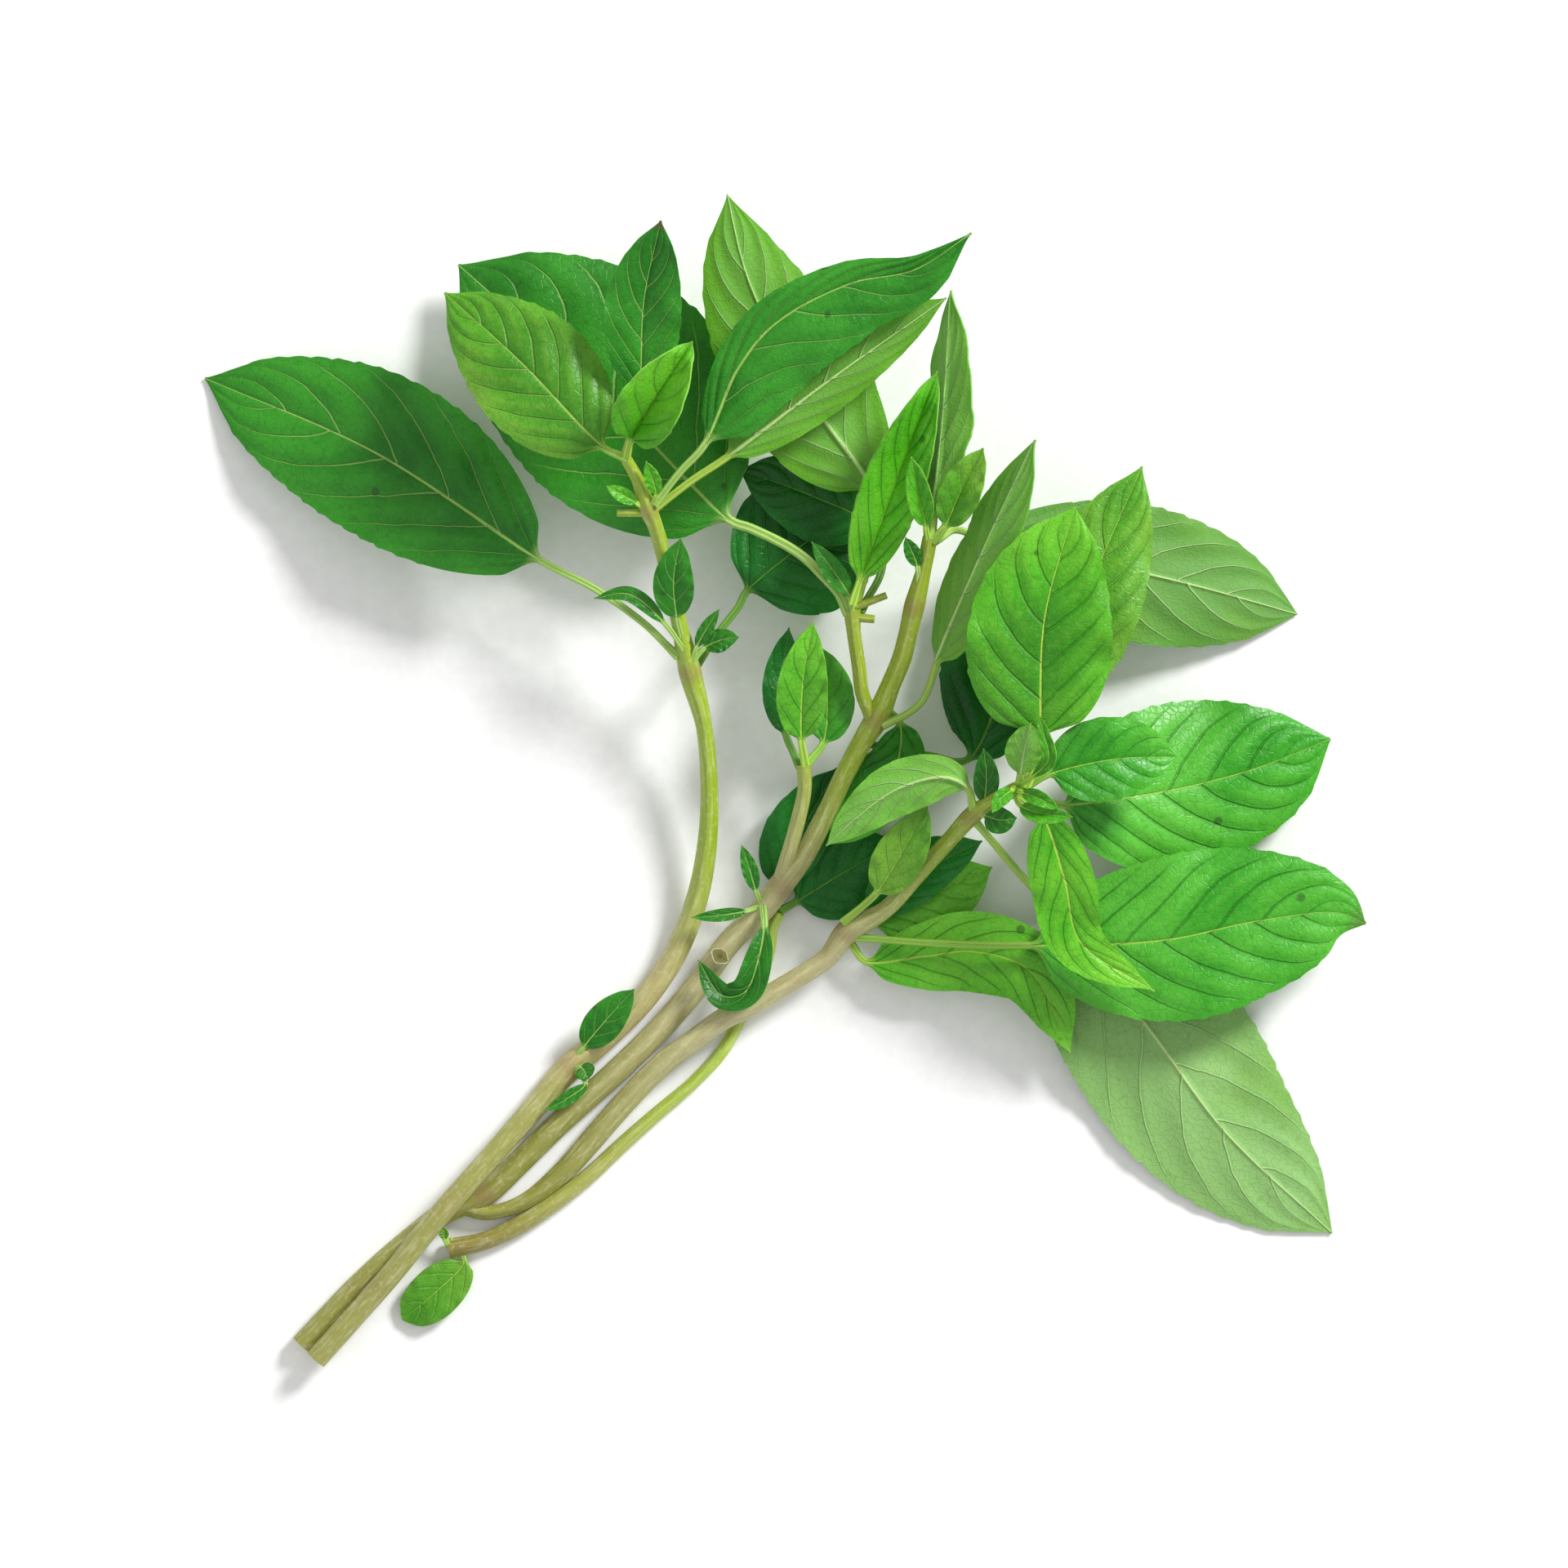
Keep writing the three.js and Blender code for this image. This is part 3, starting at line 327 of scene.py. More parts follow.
def saw_line(t, u, long, seed):
    """Teeth of the margin, from -0.5 in a notch to 0.5 on a tooth. Each leans forward, because it peaks
    late in its pitch, and slow sine waves make the teeth uneven in place and size."""
    teeth = max(3, round((LAST_TOOTH - FIRST_TOOTH) * long / TOOTH_PITCH))
    run = (t - FIRST_TOOTH) / (LAST_TOOTH - FIRST_TOOTH) * teeth
    run = run + 0.37 * (u < 0) + 0.11 * np.sin(9 * t + seed)
    part = run % 1.0
    saw = np.where(part < TOOTH_PEAK, part / TOOTH_PEAK, (1 - part) / (1 - TOOTH_PEAK)) - 0.5
    return saw * (t > FIRST_TOOTH) * (t < LAST_TOOTH) * (0.6 + 0.4 * np.sin(5.1 * run + seed))


def skin_faces(number):
    """Quads of both faces of a leaf and of its four margins, fronts outward, from the numbers of its points
    in the order row, face, column."""
    top, under = number[:, 0], number[:, 1]
    return np.concatenate([
        np.stack([top[:-1, :-1], top[:-1, 1:], top[1:, 1:], top[1:, :-1]], axis=-1).reshape(-1, 4),
        np.stack([under[:-1, :-1], under[1:, :-1], under[1:, 1:], under[:-1, 1:]], axis=-1).reshape(-1, 4),
        np.stack([under[:-1, -1], under[1:, -1], top[1:, -1], top[:-1, -1]], axis=-1),
        np.stack([under[:-1, 0], top[:-1, 0], top[1:, 0], under[1:, 0]], axis=-1),
        np.stack([under[0, :-1], under[0, 1:], top[0, 1:], top[0, :-1]], axis=-1),
        np.stack([under[-1, :-1], top[-1, :-1], top[-1, 1:], under[-1, 1:]], axis=-1),
    ])


def leaf_surface(leaf, seed=0):
    """One blade with its stalk. Across the blade at t, each half leaves the midrib at the fold angle and
    bends by the curl. Its half-width is (t/b)^(pb) ((1-t)/(1-b))^(p(1-b)), with the belly b and the
    sharpness p, and the teeth are added near the margin. Pillows rise as |sin| of the vein phase, which is
    about n (t - lean |u| - bend u^2) for n pairs of veins. The margin waves slowly, and products of sines
    make small ripples. Towards its foot the blade passes into a round stalk with a channel on top. Gives
    points, faces and values for the finish."""
    form = {**LEAF_FORM, **leaf}
    curve, lengths = smooth_line(form["stalk"] + form["blade"])
    base = lengths[len(form["stalk"]) * SPAN_SAMPLES]
    long = lengths[-1] - base
    rows = int(np.clip(long * ROWS, 34, 190))
    half_columns = int(np.clip(max(form["width"]) * COLUMNS, 8, 26))
    stalk_rows = max(3, int(base + STALK_SINK))
    s = np.concatenate([np.linspace(-STALK_SINK, base, stalk_rows, endpoint=False),
                        base + long * np.linspace(0, 1, rows)])
    t = np.clip((s - base) / long, 0, 1)[:, None]
    place, ahead, side, up = along_line(curve, lengths, np.clip(s, 0, None))
    place = place + ahead * np.minimum(s, 0)[:, None]
    roll = math.radians(form["roll"])
    side = side * math.cos(roll) - np.cross(ahead, side) * math.sin(roll)
    up = np.cross(side, ahead)

    v = np.linspace(-1, 1, 2 * half_columns + 1)[None, :]
    u = np.sign(v) * np.abs(v) ** 1.25
    a = np.abs(u)
    belly, sharp = form["belly"], form["sharp"]
    widest = np.where(u < 0, form["width"][0], form["width"][1])
    outline = (t / belly) ** (sharp * belly) * ((1 - t) / (1 - belly)) ** (sharp * (1 - belly))
    half = np.maximum(TIP, widest * outline * np.clip((1 - t) / TIP_PART, 0, 1) ** 0.3)
    tooth = TOOTH * form["toothed"] * np.clip(half / 10, 0.1, 1) ** 1.5
    distance = a * half + tooth * saw_line(t, u, long, seed) * a**7

    fold = np.radians(form["fold"] * np.minimum(1, half / FULL_FOLD))
    curl = math.radians(form["curl"])
    chord = fold + curl * a / 2
    slope = fold + curl * a
    phase = form["pairs"] * (t * 1.04 - VEIN_LEAN * a - VEIN_BEND * a**2) + VEIN_SHIFT * (u > 0)
    puff = form["pillow"] * min(1.0, max(form["width"]) / FULL_PUFF)
    pillow = puff * (np.abs(np.sin(np.pi * phase)) - 0.5)
    pillow = pillow * np.sin(np.pi * np.clip(a * 1.08, 0, 1)) ** 0.7
    pillow = pillow * np.clip(t * 9, 0, 1) * np.clip((1 - t) * 6, 0, 1)
    wave = form["wave"] * np.sin(np.pi * (5 * t + 0.5 * (u < 0))) * u**2 * np.sin(np.pi * t)
    ripple = RIPPLE * np.sin(31 * t + 3 * u + seed) * a**3
    bulge = BULGE * half * np.sin(8.3 * t + 2.6 * u + 1.7 * seed) * np.sin(3.1 * u + seed) * a**0.7
    ripple = (ripple + bulge) * np.sin(np.pi * t)
    hand = np.sign(u)
    across = (hand * distance * np.cos(chord))[..., None] * side[:, None]
    rise = (distance * np.sin(chord) + wave + ripple)[..., None] * up[:, None]
    out = np.cos(slope)[..., None] * up[:, None] - (hand * np.sin(slope))[..., None] * side[:, None]
    out[:, half_columns] = up
    blade = place[:, None] + across + rise + pillow[..., None] * out
    rib = form["stalk_radius"] * (1 - 0.8 * t)
    ridge = np.sqrt(np.clip(rib**2 - distance**2, 0, None)) * 1.1
    groove = GROOVE * np.exp(-((distance / GROOVE_REACH) ** 2))
    groove = groove * np.clip(t * 12, 0, 1) * np.clip((1 - t) * 8, 0, 1)
    upper = blade + out * (BLADE / 2 - groove)[..., None]
    lower = blade - out * (BLADE / 2 + ridge * 0.75)[..., None]

    columns = 2 * half_columns + 1
    angle = np.pi * (1 - (2 * np.arange(columns) + 1) / (2 * columns))
    radius = form["stalk_radius"] * (1 + 0.25 * np.clip((1.5 - s) / 3.5, 0, 1))[:, None]
    level = (radius * np.cos(angle))[..., None] * side[:, None]
    tall = (radius * np.sin(angle))[..., None] * up[:, None]
    channel = 0.3 * radius[..., None] * np.exp(-((np.cos(angle) / 0.4) ** 2))[None, :, None] * up[:, None]
    share = np.clip(t / JOIN, 0, 1)
    share = (share * share * (3 - 2 * share))[..., None]
    upper = (1 - share) * (place[:, None] + level + tall - channel) + share * upper
    lower = (1 - share) * (place[:, None] + level - tall) + share * lower
    rings = np.stack([upper, lower], axis=1)
    rings[..., 2] = np.maximum(rings[..., 2], 0.0)
    number = np.arange(rings[..., 0].size).reshape(rings.shape[:3])

    def both(values):
        full = np.broadcast_to(values, (len(s), columns))
        return np.stack([full, full], axis=1).ravel()

    values = {
        "phase": both(phase),
        "across": both(hand * distance),
        "along": both(t),
        "edge": both(a),
        "run_mm": both(t * long),
        "pitch": both(long / form["pairs"]),
        "blade": both(np.clip(t / (0.6 * JOIN), 0, 1)),
        "upper": np.broadcast_to([[1.0], [0.0]], (len(s), 2, columns)).ravel(),
        "tip": both(form["tip"]),
    }
    return rings.reshape(-1, 3), skin_faces(number).tolist(), values


RELIEF_DEPTH = 0.00022         # metres by which the veins are sunken above and raised below


def leaf_finish(name, upper, light, lower, stalk, line, vein, painted_relief_light):
    """Fresh leaf. The upper face goes from its own colour to a lighter one in cloudy patches. As much as the
    last argument says, it has a painted highlight on the crests of the pillows between the veins and painted
    shade in the sunken grooves beside the side veins. The under face is paler and greyer, and paler still
    towards the midrib: partly its own silvery grey, partly painted sheen. The stalk and the midrib share a
    colour. The side veins are drawn from the vein phase, with a breadth that comes from their distance, and
    on the upper face in the line's colour, as strongly as vein says; a dark line colour is painted shade in
    the sunken grooves. A net of finer veins lies between them. The upper face has a few small spots, and the
    tip is brown where its value asks for it."""
    f = Finish(name, 0.4, 0.3)
    is_upper = f.value("upper")
    along, edge, across, pitch = f.value("along"), f.value("edge"), f.value("across"), f.value("pitch")
    clouds = f.noise(46.0, 4.0)
    wobble = f.math("MULTIPLY", f.math("SUBTRACT", f.noise(150.0, 2.0), 0.5), 0.2)
    phase = f.math("FRACT", f.math("ADD", f.value("phase"), wobble))
    nearest = f.math("SUBTRACT", 0.5, f.math("ABSOLUTE", f.math("SUBTRACT", phase, 0.5)))
    fade = f.math("MULTIPLY", f.ramp(edge, 1.0, 0.7), f.ramp(along, 0.97, 0.76))
    fade = f.math("MULTIPLY", fade, f.ramp(pitch, 2.0, 8.0, 0.25, 1.0))
    breadth = f.math("ADD", f.math("DIVIDE", 0.5, pitch), 0.012)
    thin = f.math("MULTIPLY", f.ramp(f.math("DIVIDE", nearest, breadth), 0.8, 0.15), fade)
    broad = f.math("MULTIPLY", f.ramp(nearest, 0.13, 0.0), fade)
    highlight_crest = f.math("MULTIPLY", f.math("MULTIPLY", f.ramp(nearest, 0.2, 0.5), f.ramp(edge, 0.08, 0.3)), fade)
    rib_reach = f.math("MULTIPLY", f.ramp(pitch, 1.5, 12.0, 0.16, 0.4), f.ramp(along, 0.0, 1.0, 1.2, 0.35))
    rib = f.ramp(f.math("DIVIDE", f.math("ABSOLUTE", across), rib_reach), 1.0, 0.4)
    flat_place = f.vector(f.value("run_mm"), across)
    cells = f.node("ShaderNodeTexVoronoi", {"Vector": flat_place, "Scale": 0.7, "Randomness": 0.95},
                   feature="DISTANCE_TO_EDGE").outputs["Distance"]
    net = f.ramp(cells, 0.1, 0.0)
    spots = f.node("ShaderNodeTexVoronoi", {"Vector": f.place(), "Scale": 70.0}).outputs["Distance"]

    deep, dark = shade("#06400a"), shade("#0b420d")
    drift, fine = f.noise(14.0, 2.0), f.noise(900.0, 3.0)
    face = f.mix(f.ramp(clouds, 0.38, 0.66, 0.0, 0.6), shade(upper), shade(light))
    # Painted highlight: the upper face is lighter on the crests of the pillows between the veins.
    face = f.mix(f.math("MULTIPLY", highlight_crest, painted_relief_light), face, shade(light))
    face = f.mix(f.ramp(edge, 0.45, 1.0, 0.0, 0.18), face, shade(light))
    face = f.mix(f.ramp(drift, 0.52, 0.34, 0.0, 0.4), face, deep)
    face = f.mix(f.ramp(clouds, 0.46, 0.3, 0.0, 0.25), face, deep)
    # Painted shade: the upper face is darker in the sunken grooves beside the side veins.
    face = f.mix(f.math("MULTIPLY", broad, 0.12 + 0.25 * painted_relief_light), face, shade("#0d4a10"))
    face = f.mix(f.ramp(fine, 0.55, 0.7, 0.0, 0.14), face, shade(light))
    face = f.mix(f.ramp(fine, 0.46, 0.3, 0.0, 0.2), face, dark)
    face = f.mix(f.math("MULTIPLY", net, 0.1), face, dark)
    # The vein lines take the line colour; where that colour is dark, it is painted shade in the sunken vein
    # grooves.
    face = f.mix(f.math("MULTIPLY", thin, vein), face, shade(line))
    face = f.mix(f.math("MULTIPLY", rib, 0.75), face, shade(stalk))
    face = f.mix(f.ramp(spots, 0.07, 0.045, 0.0, 0.6), face, shade("#274016"))

    # Paler towards the midrib: partly the underside's own silvery grey, partly painted sheen.
    silver_and_sheen = f.mix(0.1, shade(lower), shade("#b3cfa6"))
    under = f.mix(f.ramp(edge, 0.95, 0.1, 0.0, 0.7), shade(lower), silver_and_sheen)
    under = f.mix(f.ramp(clouds, 0.5, 0.3, 0.0, 0.5), under, shade("#6c9f34"))
    under = f.mix(f.math("MULTIPLY", broad, 0.25), under, shade("#5b9437"))
    under = f.mix(f.ramp(fine, 0.46, 0.3, 0.0, 0.25), under, shade("#4e8a30"))
    under = f.mix(f.math("MULTIPLY", net, 0.14), under, shade("#5f9a45"))
    under = f.mix(f.math("MULTIPLY", thin, 0.42), under, shade("#bcd99a"))
    under = f.mix(f.math("MULTIPLY", rib, 0.75), under, shade("#bcd98c"))

    colour = f.mix(is_upper, under, face)
    colour = f.mix(f.math("MULTIPLY", f.value("tip"), f.ramp(along, 0.93, 0.99)), colour, shade("#5a4330"))
    colour = f.mix(f.value("blade"), shade(stalk), colour)
    f.join(colour, f.shader.inputs["Base Color"])
    rough = f.math("ADD", f.ramp(is_upper, 0.0, 1.0, 0.6, 0.36), f.ramp(fine, 0.3, 0.7, -0.05, 0.1))
    f.join(rough, f.shader.inputs["Roughness"])
    sign = f.ramp(is_upper, 0.0, 1.0, 1.0, -1.0)
    relief = f.math("ADD", f.math("MULTIPLY", thin, 0.9), f.math("MULTIPLY", rib, 0.5))
    relief = f.math("ADD", relief, f.math("MULTIPLY", net, 0.16))
    height = f.math("ADD", f.math("MULTIPLY", relief, sign), f.math("MULTIPLY", f.noise(1500.0, 3.0), 0.2))
    f.bump(height, RELIEF_DEPTH)
    return f.material


# The fifth colour is the line of the upper face's side veins: the dark ones of mid, lime and young are
# painted shade in the sunken vein grooves. The last number sets the painted highlight on the pillow crests
# and the painted shade beside the veins.
TONES = {                      # what leaf_finish takes after the name, and then the slot
    "deep": ["#065a0d", "#1f8426", "#5f9a45", "#6a9c3c", "#5fa844", 0.12, 0.15, "leaf_dark"],
    "dark": ["#186a0c", "#3c9a24", "#6ba346", "#a0c664", "#9ccc64", 0.42, 0.15, "leaf_dark"],
    "mid": ["#2c9014", "#62bc3a", "#78ad4c", "#93c24e", "#2c7a1c", 0.3, 0.25, "leaf_mid"],
    "fresh": ["#4a961a", "#84b43c", "#7fb04c", "#9dc550", "#a3c860", 0.25, 0.25, "leaf_mid"],
    "lime": ["#46a414", "#78c434", "#8dbb55", "#a6cf50", "#3d8f22", 0.16, 0.2, "leaf_bright"],
    "young": ["#48a812", "#80cc34", "#8dbb55", "#b2d455", "#4f9422", 0.25, 0.25, "leaf_bright"],
    "pale": ["#478f2c", "#6fb04c", "#6cae38", "#a3c75c", "#a3c860", 0.25, 0.3, "leaf_pale"],
    "golden": ["#4f9426", "#86b53a", "#5a9c18", "#a9cb4e", "#a3c860", 0.25, 0.3, "leaf_pale"],
    "silver": ["#4f9426", "#86b53a", "#82b062", "#a3c75c", "#a3c860", 0.25, 0.3, "leaf_pale"],
    "matt": ["#4f9426", "#86b53a", "#588f34", "#a3c75c", "#a3c860", 0.25, 0.3, "leaf_pale"],
}
FINISHES = {tone: (leaf_finish(tone + "_leaf", *look), slot) for tone, (*look, slot) in TONES.items()}

# Every large leaf, by the node that it replaces. Its entry holds the points of the stalk and of the blade's
# midrib, the greatest half-width on each side of the midrib, its tone, and what differs from LEAF_FORM.
LARGE_LEAVES = {
    "left_leaf_outer": {
        "stalk": [[-20.9, 24.8, 16.2], [-25.5, 29.3, 17], [-34.5, 35.7, 17]],
        "blade": [[-44.3, 40.8, 15.5], [-75.6, 61.2, 9], [-107, 75, 0.25]],
        "width": [15, 15], "belly": 0.47, "fold": 8, "curl": -16, "wave": 0.8, "tone": "dark",
    },
    "left_leaf_inner": {
        "stalk": [[-15.1, 23.2, 13.2], [-11.3, 28.8, 12], [-8.3, 32.7, 11]],
        "blade": [[-6.9, 35.4, 10.5], [6, 46, 9], [18.8, 55.5, 7]],
        "width": [13.5, 13.5], "fold": 6, "curl": -12, "wave": 0.6, "tone": "deep",
    },
    "left_leaf_crown_west": {
        "stalk": [[-30.4, 60.1, 31.4]],
        "blade": [[-32.7, 61.2, 32], [-48, 77, 30], [-62.1, 89.9, 23]],
        "width": [11.3, 11.3], "fold": 8, "curl": -26, "wave": 0.6, "tone": "fresh",
    },
    "left_leaf_crown_north": {
        "stalk": [[-28.7, 61.2, 29.4], [-27.5, 65.5, 31]],
        "blade": [[-26.3, 70.5, 32.5], [-25.5, 88, 35], [-22.4, 102.5, 38]],
        "width": [7.2, 7.2], "belly": 0.45, "fold": 18, "curl": -14, "wave": 0.4,
        "tone": "dark", "tip": 0.8,
    },
    "left_leaf_crown_folded": {
        "stalk": [[-28.5, 60.7, 32.2]],
        "blade": [[-28, 62.5, 33.8], [-22.5, 71.5, 39], [-16.7, 80.3, 42]],
        "width": [8, 8], "belly": 0.4, "fold": 45, "tone": "lime", "pairs": 4,
    },
    "left_leaf_long": {
        "stalk": [[-22.4, 52.7, 27], [-19, 57, 28.2]],
        "blade": [[-14.4, 62.1, 29.5], [-8.3, 75.8, 31], [-1.5, 84, 32], [12, 91.2, 33], [24, 93.8, 33.5],
                  [34.2, 100.4, 34]],
        "width": [5, 12], "belly": 0.38, "fold": 12, "curl": -24, "wave": 0.5, "tone": "dark",
    },
    "left_leaf_long_lower": {
        "stalk": [[-23, 50.8, 24.2], [-17, 55.4, 25.2]],
        "blade": [[-10.5, 59.7, 26.2], [9, 74.3, 27.2], [29.7, 88.8, 28.6]],
        "width": [5.5, 9], "fold": 6, "curl": 6, "roll": 180, "wave": 0.4, "tone": "golden",
    },
    "centre_leaf_broad": {
        "stalk": [[11, 33, 18.8], [10, 35, 18.8], [7, 38.3, 18.8], [4, 41.3, 18.5], [0.5, 43.7, 18],
                  [-6.3, 47, 17]],
        "blade": [[-9.8, 48.3, 16.3], [-34, 72.5, 13], [-60, 95.7, 7]],
        "width": [20, 23], "belly": 0.45, "fold": 4, "curl": -14, "wave": 1,
        "tone": "dark", "stalk_radius": 0.9,
    },
    "centre_leaf_north": {
        "stalk": [[13.7, 34.1, 18.4], [16, 43, 19]],
        "blade": [[16.5, 52.8, 20], [6.5, 68, 20.8], [-3.5, 85.4, 21.5], [-7.4, 95, 22], [-10.4, 108, 22]],
        "width": [12.5, 12.5], "fold": 4, "curl": 8, "roll": 180, "wave": 0.6, "tone": "golden",
    },
    "centre_leaf_dark": {
        "stalk": [[14.9, 33.2, 17.2], [18, 39.5, 14.5]],
        "blade": [[17.3, 46.5, 13], [5, 53, 12.5], [-8.3, 57.8, 12]],
        "width": [8, 8], "fold": 4, "curl": -8, "wave": 0.4, "tone": "deep",
    },
    "centre_leaf_folded": {
        "stalk": [[13.1, 34.8, 21.8]],
        "blade": [[13.8, 37, 22.2], [20, 54, 24.4], [28, 75.3, 29.5]],
        "width": [7.5, 7], "fold": 40, "wave": 0.4, "tone": "lime",
    },
    "centre_leaf_narrow": {
        "stalk": [[27.2, 46.9, 27.8]],
        "blade": [[27.4, 48.4, 28], [29.5, 70, 26], [30.6, 90.3, 24]],
        "width": [6.5, 6.5], "fold": 8, "roll": -130, "wave": 0.4, "tone": "pale",
    },
    "centre_leaf_narrow_back": {
        "stalk": [[26.2, 46.9, 25.4]],
        "blade": [[26, 49, 23], [26.5, 60, 17.5], [30, 71.7, 16]],
        "width": [4.8, 4.8], "fold": 10, "tone": "mid", "pairs": 5,
    },
    "centre_leaf_top": {
        "stalk": [[28.4, 45.8, 28.4]],
        "blade": [[29.4, 47, 29.2], [32.5, 54, 31.5], [36.3, 61.2, 34]],
        "width": [4.2, 4.2], "fold": 25, "tone": "fresh", "pairs": 4,
    },
    "centre_leaf_pale": {
        "stalk": [[20, 11.6, 14.9], [22.5, 12.8, 15.5], [25.2, 15, 16.2], [26.7, 18, 17]],
        "blade": [[27.9, 21.8, 18.5], [36.5, 42.5, 27], [45.8, 62.7, 34]],
        "width": [7.2, 7.2], "fold": 8, "roll": -140, "wave": 0.4, "tone": "pale",
    },
    "centre_leaf_east": {
        "stalk": [[28.6, 45, 25.4], [31.5, 46.6, 20.6]],
        "blade": [[36, 45.3, 17.8], [53, 41.6, 14.2], [74, 37, 8], [94.8, 31.4, 0.25]],
        "width": [13, 12.5], "belly": 0.5, "fold": 4, "curl": 8, "roll": 180, "wave": 0.5, "tone": "matt",
    },
    "centre_leaf_deep": {
        "stalk": [[15.3, 7.4, 10.2], [20, 6.6, 7.2], [27, 5.2, 6.3]],
        "blade": [[33.8, 4.5, 6.3], [43, 27, 7], [51.9, 50, 8.5]],
        "width": [13, 10], "belly": 0.5, "sharp": 1.2, "fold": 4, "curl": -10, "wave": 0.5, "tone": "deep",
    },
    "centre_leaf_droop": {
        "stalk": [[19.7, 12.9, 13]],
        "blade": [[21.2, 11.5, 12.4], [20.8, 4, 10.2], [14.5, -5, 7.6], [7.8, -11.3, 6.6]],
        "width": [5.8, 5.8], "fold": 4, "curl": -6, "tone": "mid", "pairs": 5,
    },
    "centre_leaf_under": {
        "stalk": [[-2.9, -21.4, 2.2]],
        "blade": [[-1.8, -19.2, 2.4], [2.5, -10, 4.5], [9.8, 3, 5.4]],
        "width": [6.5, 5.5], "fold": 2, "curl": -4, "tone": "deep", "pairs": 5,
    },
    "centre_leaf_curled": {
        "stalk": [[-3.7, -24.4, 8]],
        "blade": [[-3.6, -26, 8.8], [-4.5, -31.5, 9.6], [-7.2, -38.3, 9.4], [-11.3, -39, 9],
                  [-15.9, -32.4, 8.8]],
        "width": [3, 3], "belly": 0.45, "fold": 20, "tone": "dark", "pairs": 4,
    },
    "shoot_leaf_bright": {
        "stalk": [[3.6, 5.4, 14.8]],
        "blade": [[3.2, 8, 16], [3.5, 19, 18.5], [5.3, 29.7, 20.5]],
        "width": [4.8, 4.8], "belly": 0.4, "fold": 14, "tone": "lime", "pairs": 4,
    },
    "shoot_leaf_right": {
        "stalk": [[5.2, 4.8, 12.6]],
        "blade": [[7.2, 7.5, 12], [8, 16, 12], [6.5, 25.5, 12]],
        "width": [5, 5], "fold": 6, "tone": "mid", "pairs": 4,
    },
    "shoot_leaf_left": {
        "stalk": [[2.1, 5, 12.4]],
        "blade": [[0.3, 9.2, 11.5], [-0.5, 18, 10.3], [0.9, 28.8, 9.6]],
        "width": [3.5, 3.5], "fold": 6, "wave": 0.2, "tone": "deep", "pairs": 4,
    },
    "right_leaf_crown_north": {
        "stalk": [[45.1, 1.2, 28.6], [46.6, 4.5, 29.5]],
        "blade": [[46.8, 8.4, 30.4], [47.5, 30, 33], [53, 50.4, 35]],
        "width": [13.8, 12.8], "belly": 0.4, "sharp": 1.25, "fold": 8, "curl": -24, "wave": 0.7,
        "tone": "young", "pillow": 0.5,
    },
    "right_leaf_crown_back": {
        "stalk": [[43.9, 1.6, 25.6], [46, 7, 24.5]],
        "blade": [[47.8, 13.5, 24], [56, 36, 23.5], [65.6, 58.2, 21]],
        "width": [10, 10.5], "fold": 8, "curl": -20, "wave": 0.5, "tone": "fresh",
    },
    "right_leaf_east": {
        "stalk": [[45.2, -1.8, 25.4], [48, -3, 23]],
        "blade": [[51, -3.8, 20.2], [69.8, -1.4, 10.6], [86.4, 2.7, 7.2], [100.8, 8.3, 4.2]],
        "width": [16, 15], "belly": 0.46, "sharp": 1.35, "fold": 2, "curl": -22, "wave": 0.8, "tone": "mid",
        "pillow": 0.5, "pairs": 7,
    },
    "right_leaf_east_small": {
        "stalk": [[45.3, 0.1, 27.2]],
        "blade": [[48.4, 1.8, 28], [60, 4.5, 27], [72, 5.1, 23.5]],
        "width": [8, 7.6], "sharp": 1.3, "fold": 14, "curl": -10, "wave": 0.4, "tone": "mid", "pairs": 5,
    },
    "right_leaf_hanging": {
        "stalk": [[44.4, -3.1, 28.4]],
        "blade": [[47, -5.3, 29], [51.4, -17.6, 24], [54.4, -29, 19.4], [68, -38, 17]],
        "width": [5.5, 6.5], "belly": 0.36, "fold": 10, "curl": -10, "wave": 0.4,
        "tone": "young", "pillow": 0.25,
    },
    "right_leaf_broad": {
        "stalk": [[14.9, -28.4, 6.8], [28, -29.3, 9]],
        "blade": [[45.3, -29.7, 11.5], [69.8, -28.7, 13], [87, -25.2, 12], [102, -23.7, 10.5],
                  [107.1, -25.7, 10]],
        "width": [15.3, 15.3], "belly": 0.47, "sharp": 1.35, "fold": 5, "curl": -14, "wave": 0.8,
        "tone": "mid", "pillow": 0.4, "pairs": 7, "tip": 0.4,
    },
    "right_leaf_low_broad": {
        "stalk": [[35.7, -7.6, 19.2], [42.9, -16, 13], [46.5, -20.1, 9.6]],
        "blade": [[49.5, -25.5, 6.8], [65.6, -43, 4.8], [81.6, -64.4, 2.8], [101.3, -83, 0.25]],
        "width": [17, 16.5], "sharp": 1.3, "fold": 3, "curl": 4, "roll": 180, "wave": 0.5, "tone": "silver",
    },
    "right_leaf_low_narrow": {
        "stalk": [[12.8, -30, 4.9]],
        "blade": [[15, -32.7, 5], [26, -31.8, 6], [35, -30.9, 6.6], [45.3, -34.5, 8.6], [52.8, -49.5, 8.6]],
        "width": [7.5, 7.5], "belly": 0.45, "fold": 3, "wave": 0.3, "tone": "lime", "pillow": 0.15,
        "toothed": 0.2,
    },
    "right_leaf_west": {
        "stalk": [[34.4, -3.4, 22.6]],
        "blade": [[33.8, -0.9, 23.8], [29.5, 1.2, 24.5], [21, -0.8, 23.5], [13.5, -6, 21.5],
                  [7.8, -11.3, 19.5]],
        "width": [5, 5], "fold": 8, "roll": 180, "tone": "pale", "pairs": 5,
    },
    "right_leaf_axil": {
        "stalk": [[12.3, -24.3, 9], [15, -22, 11]],
        "blade": [[17, -20, 13], [22, -12, 17], [26.3, -3.8, 20]],
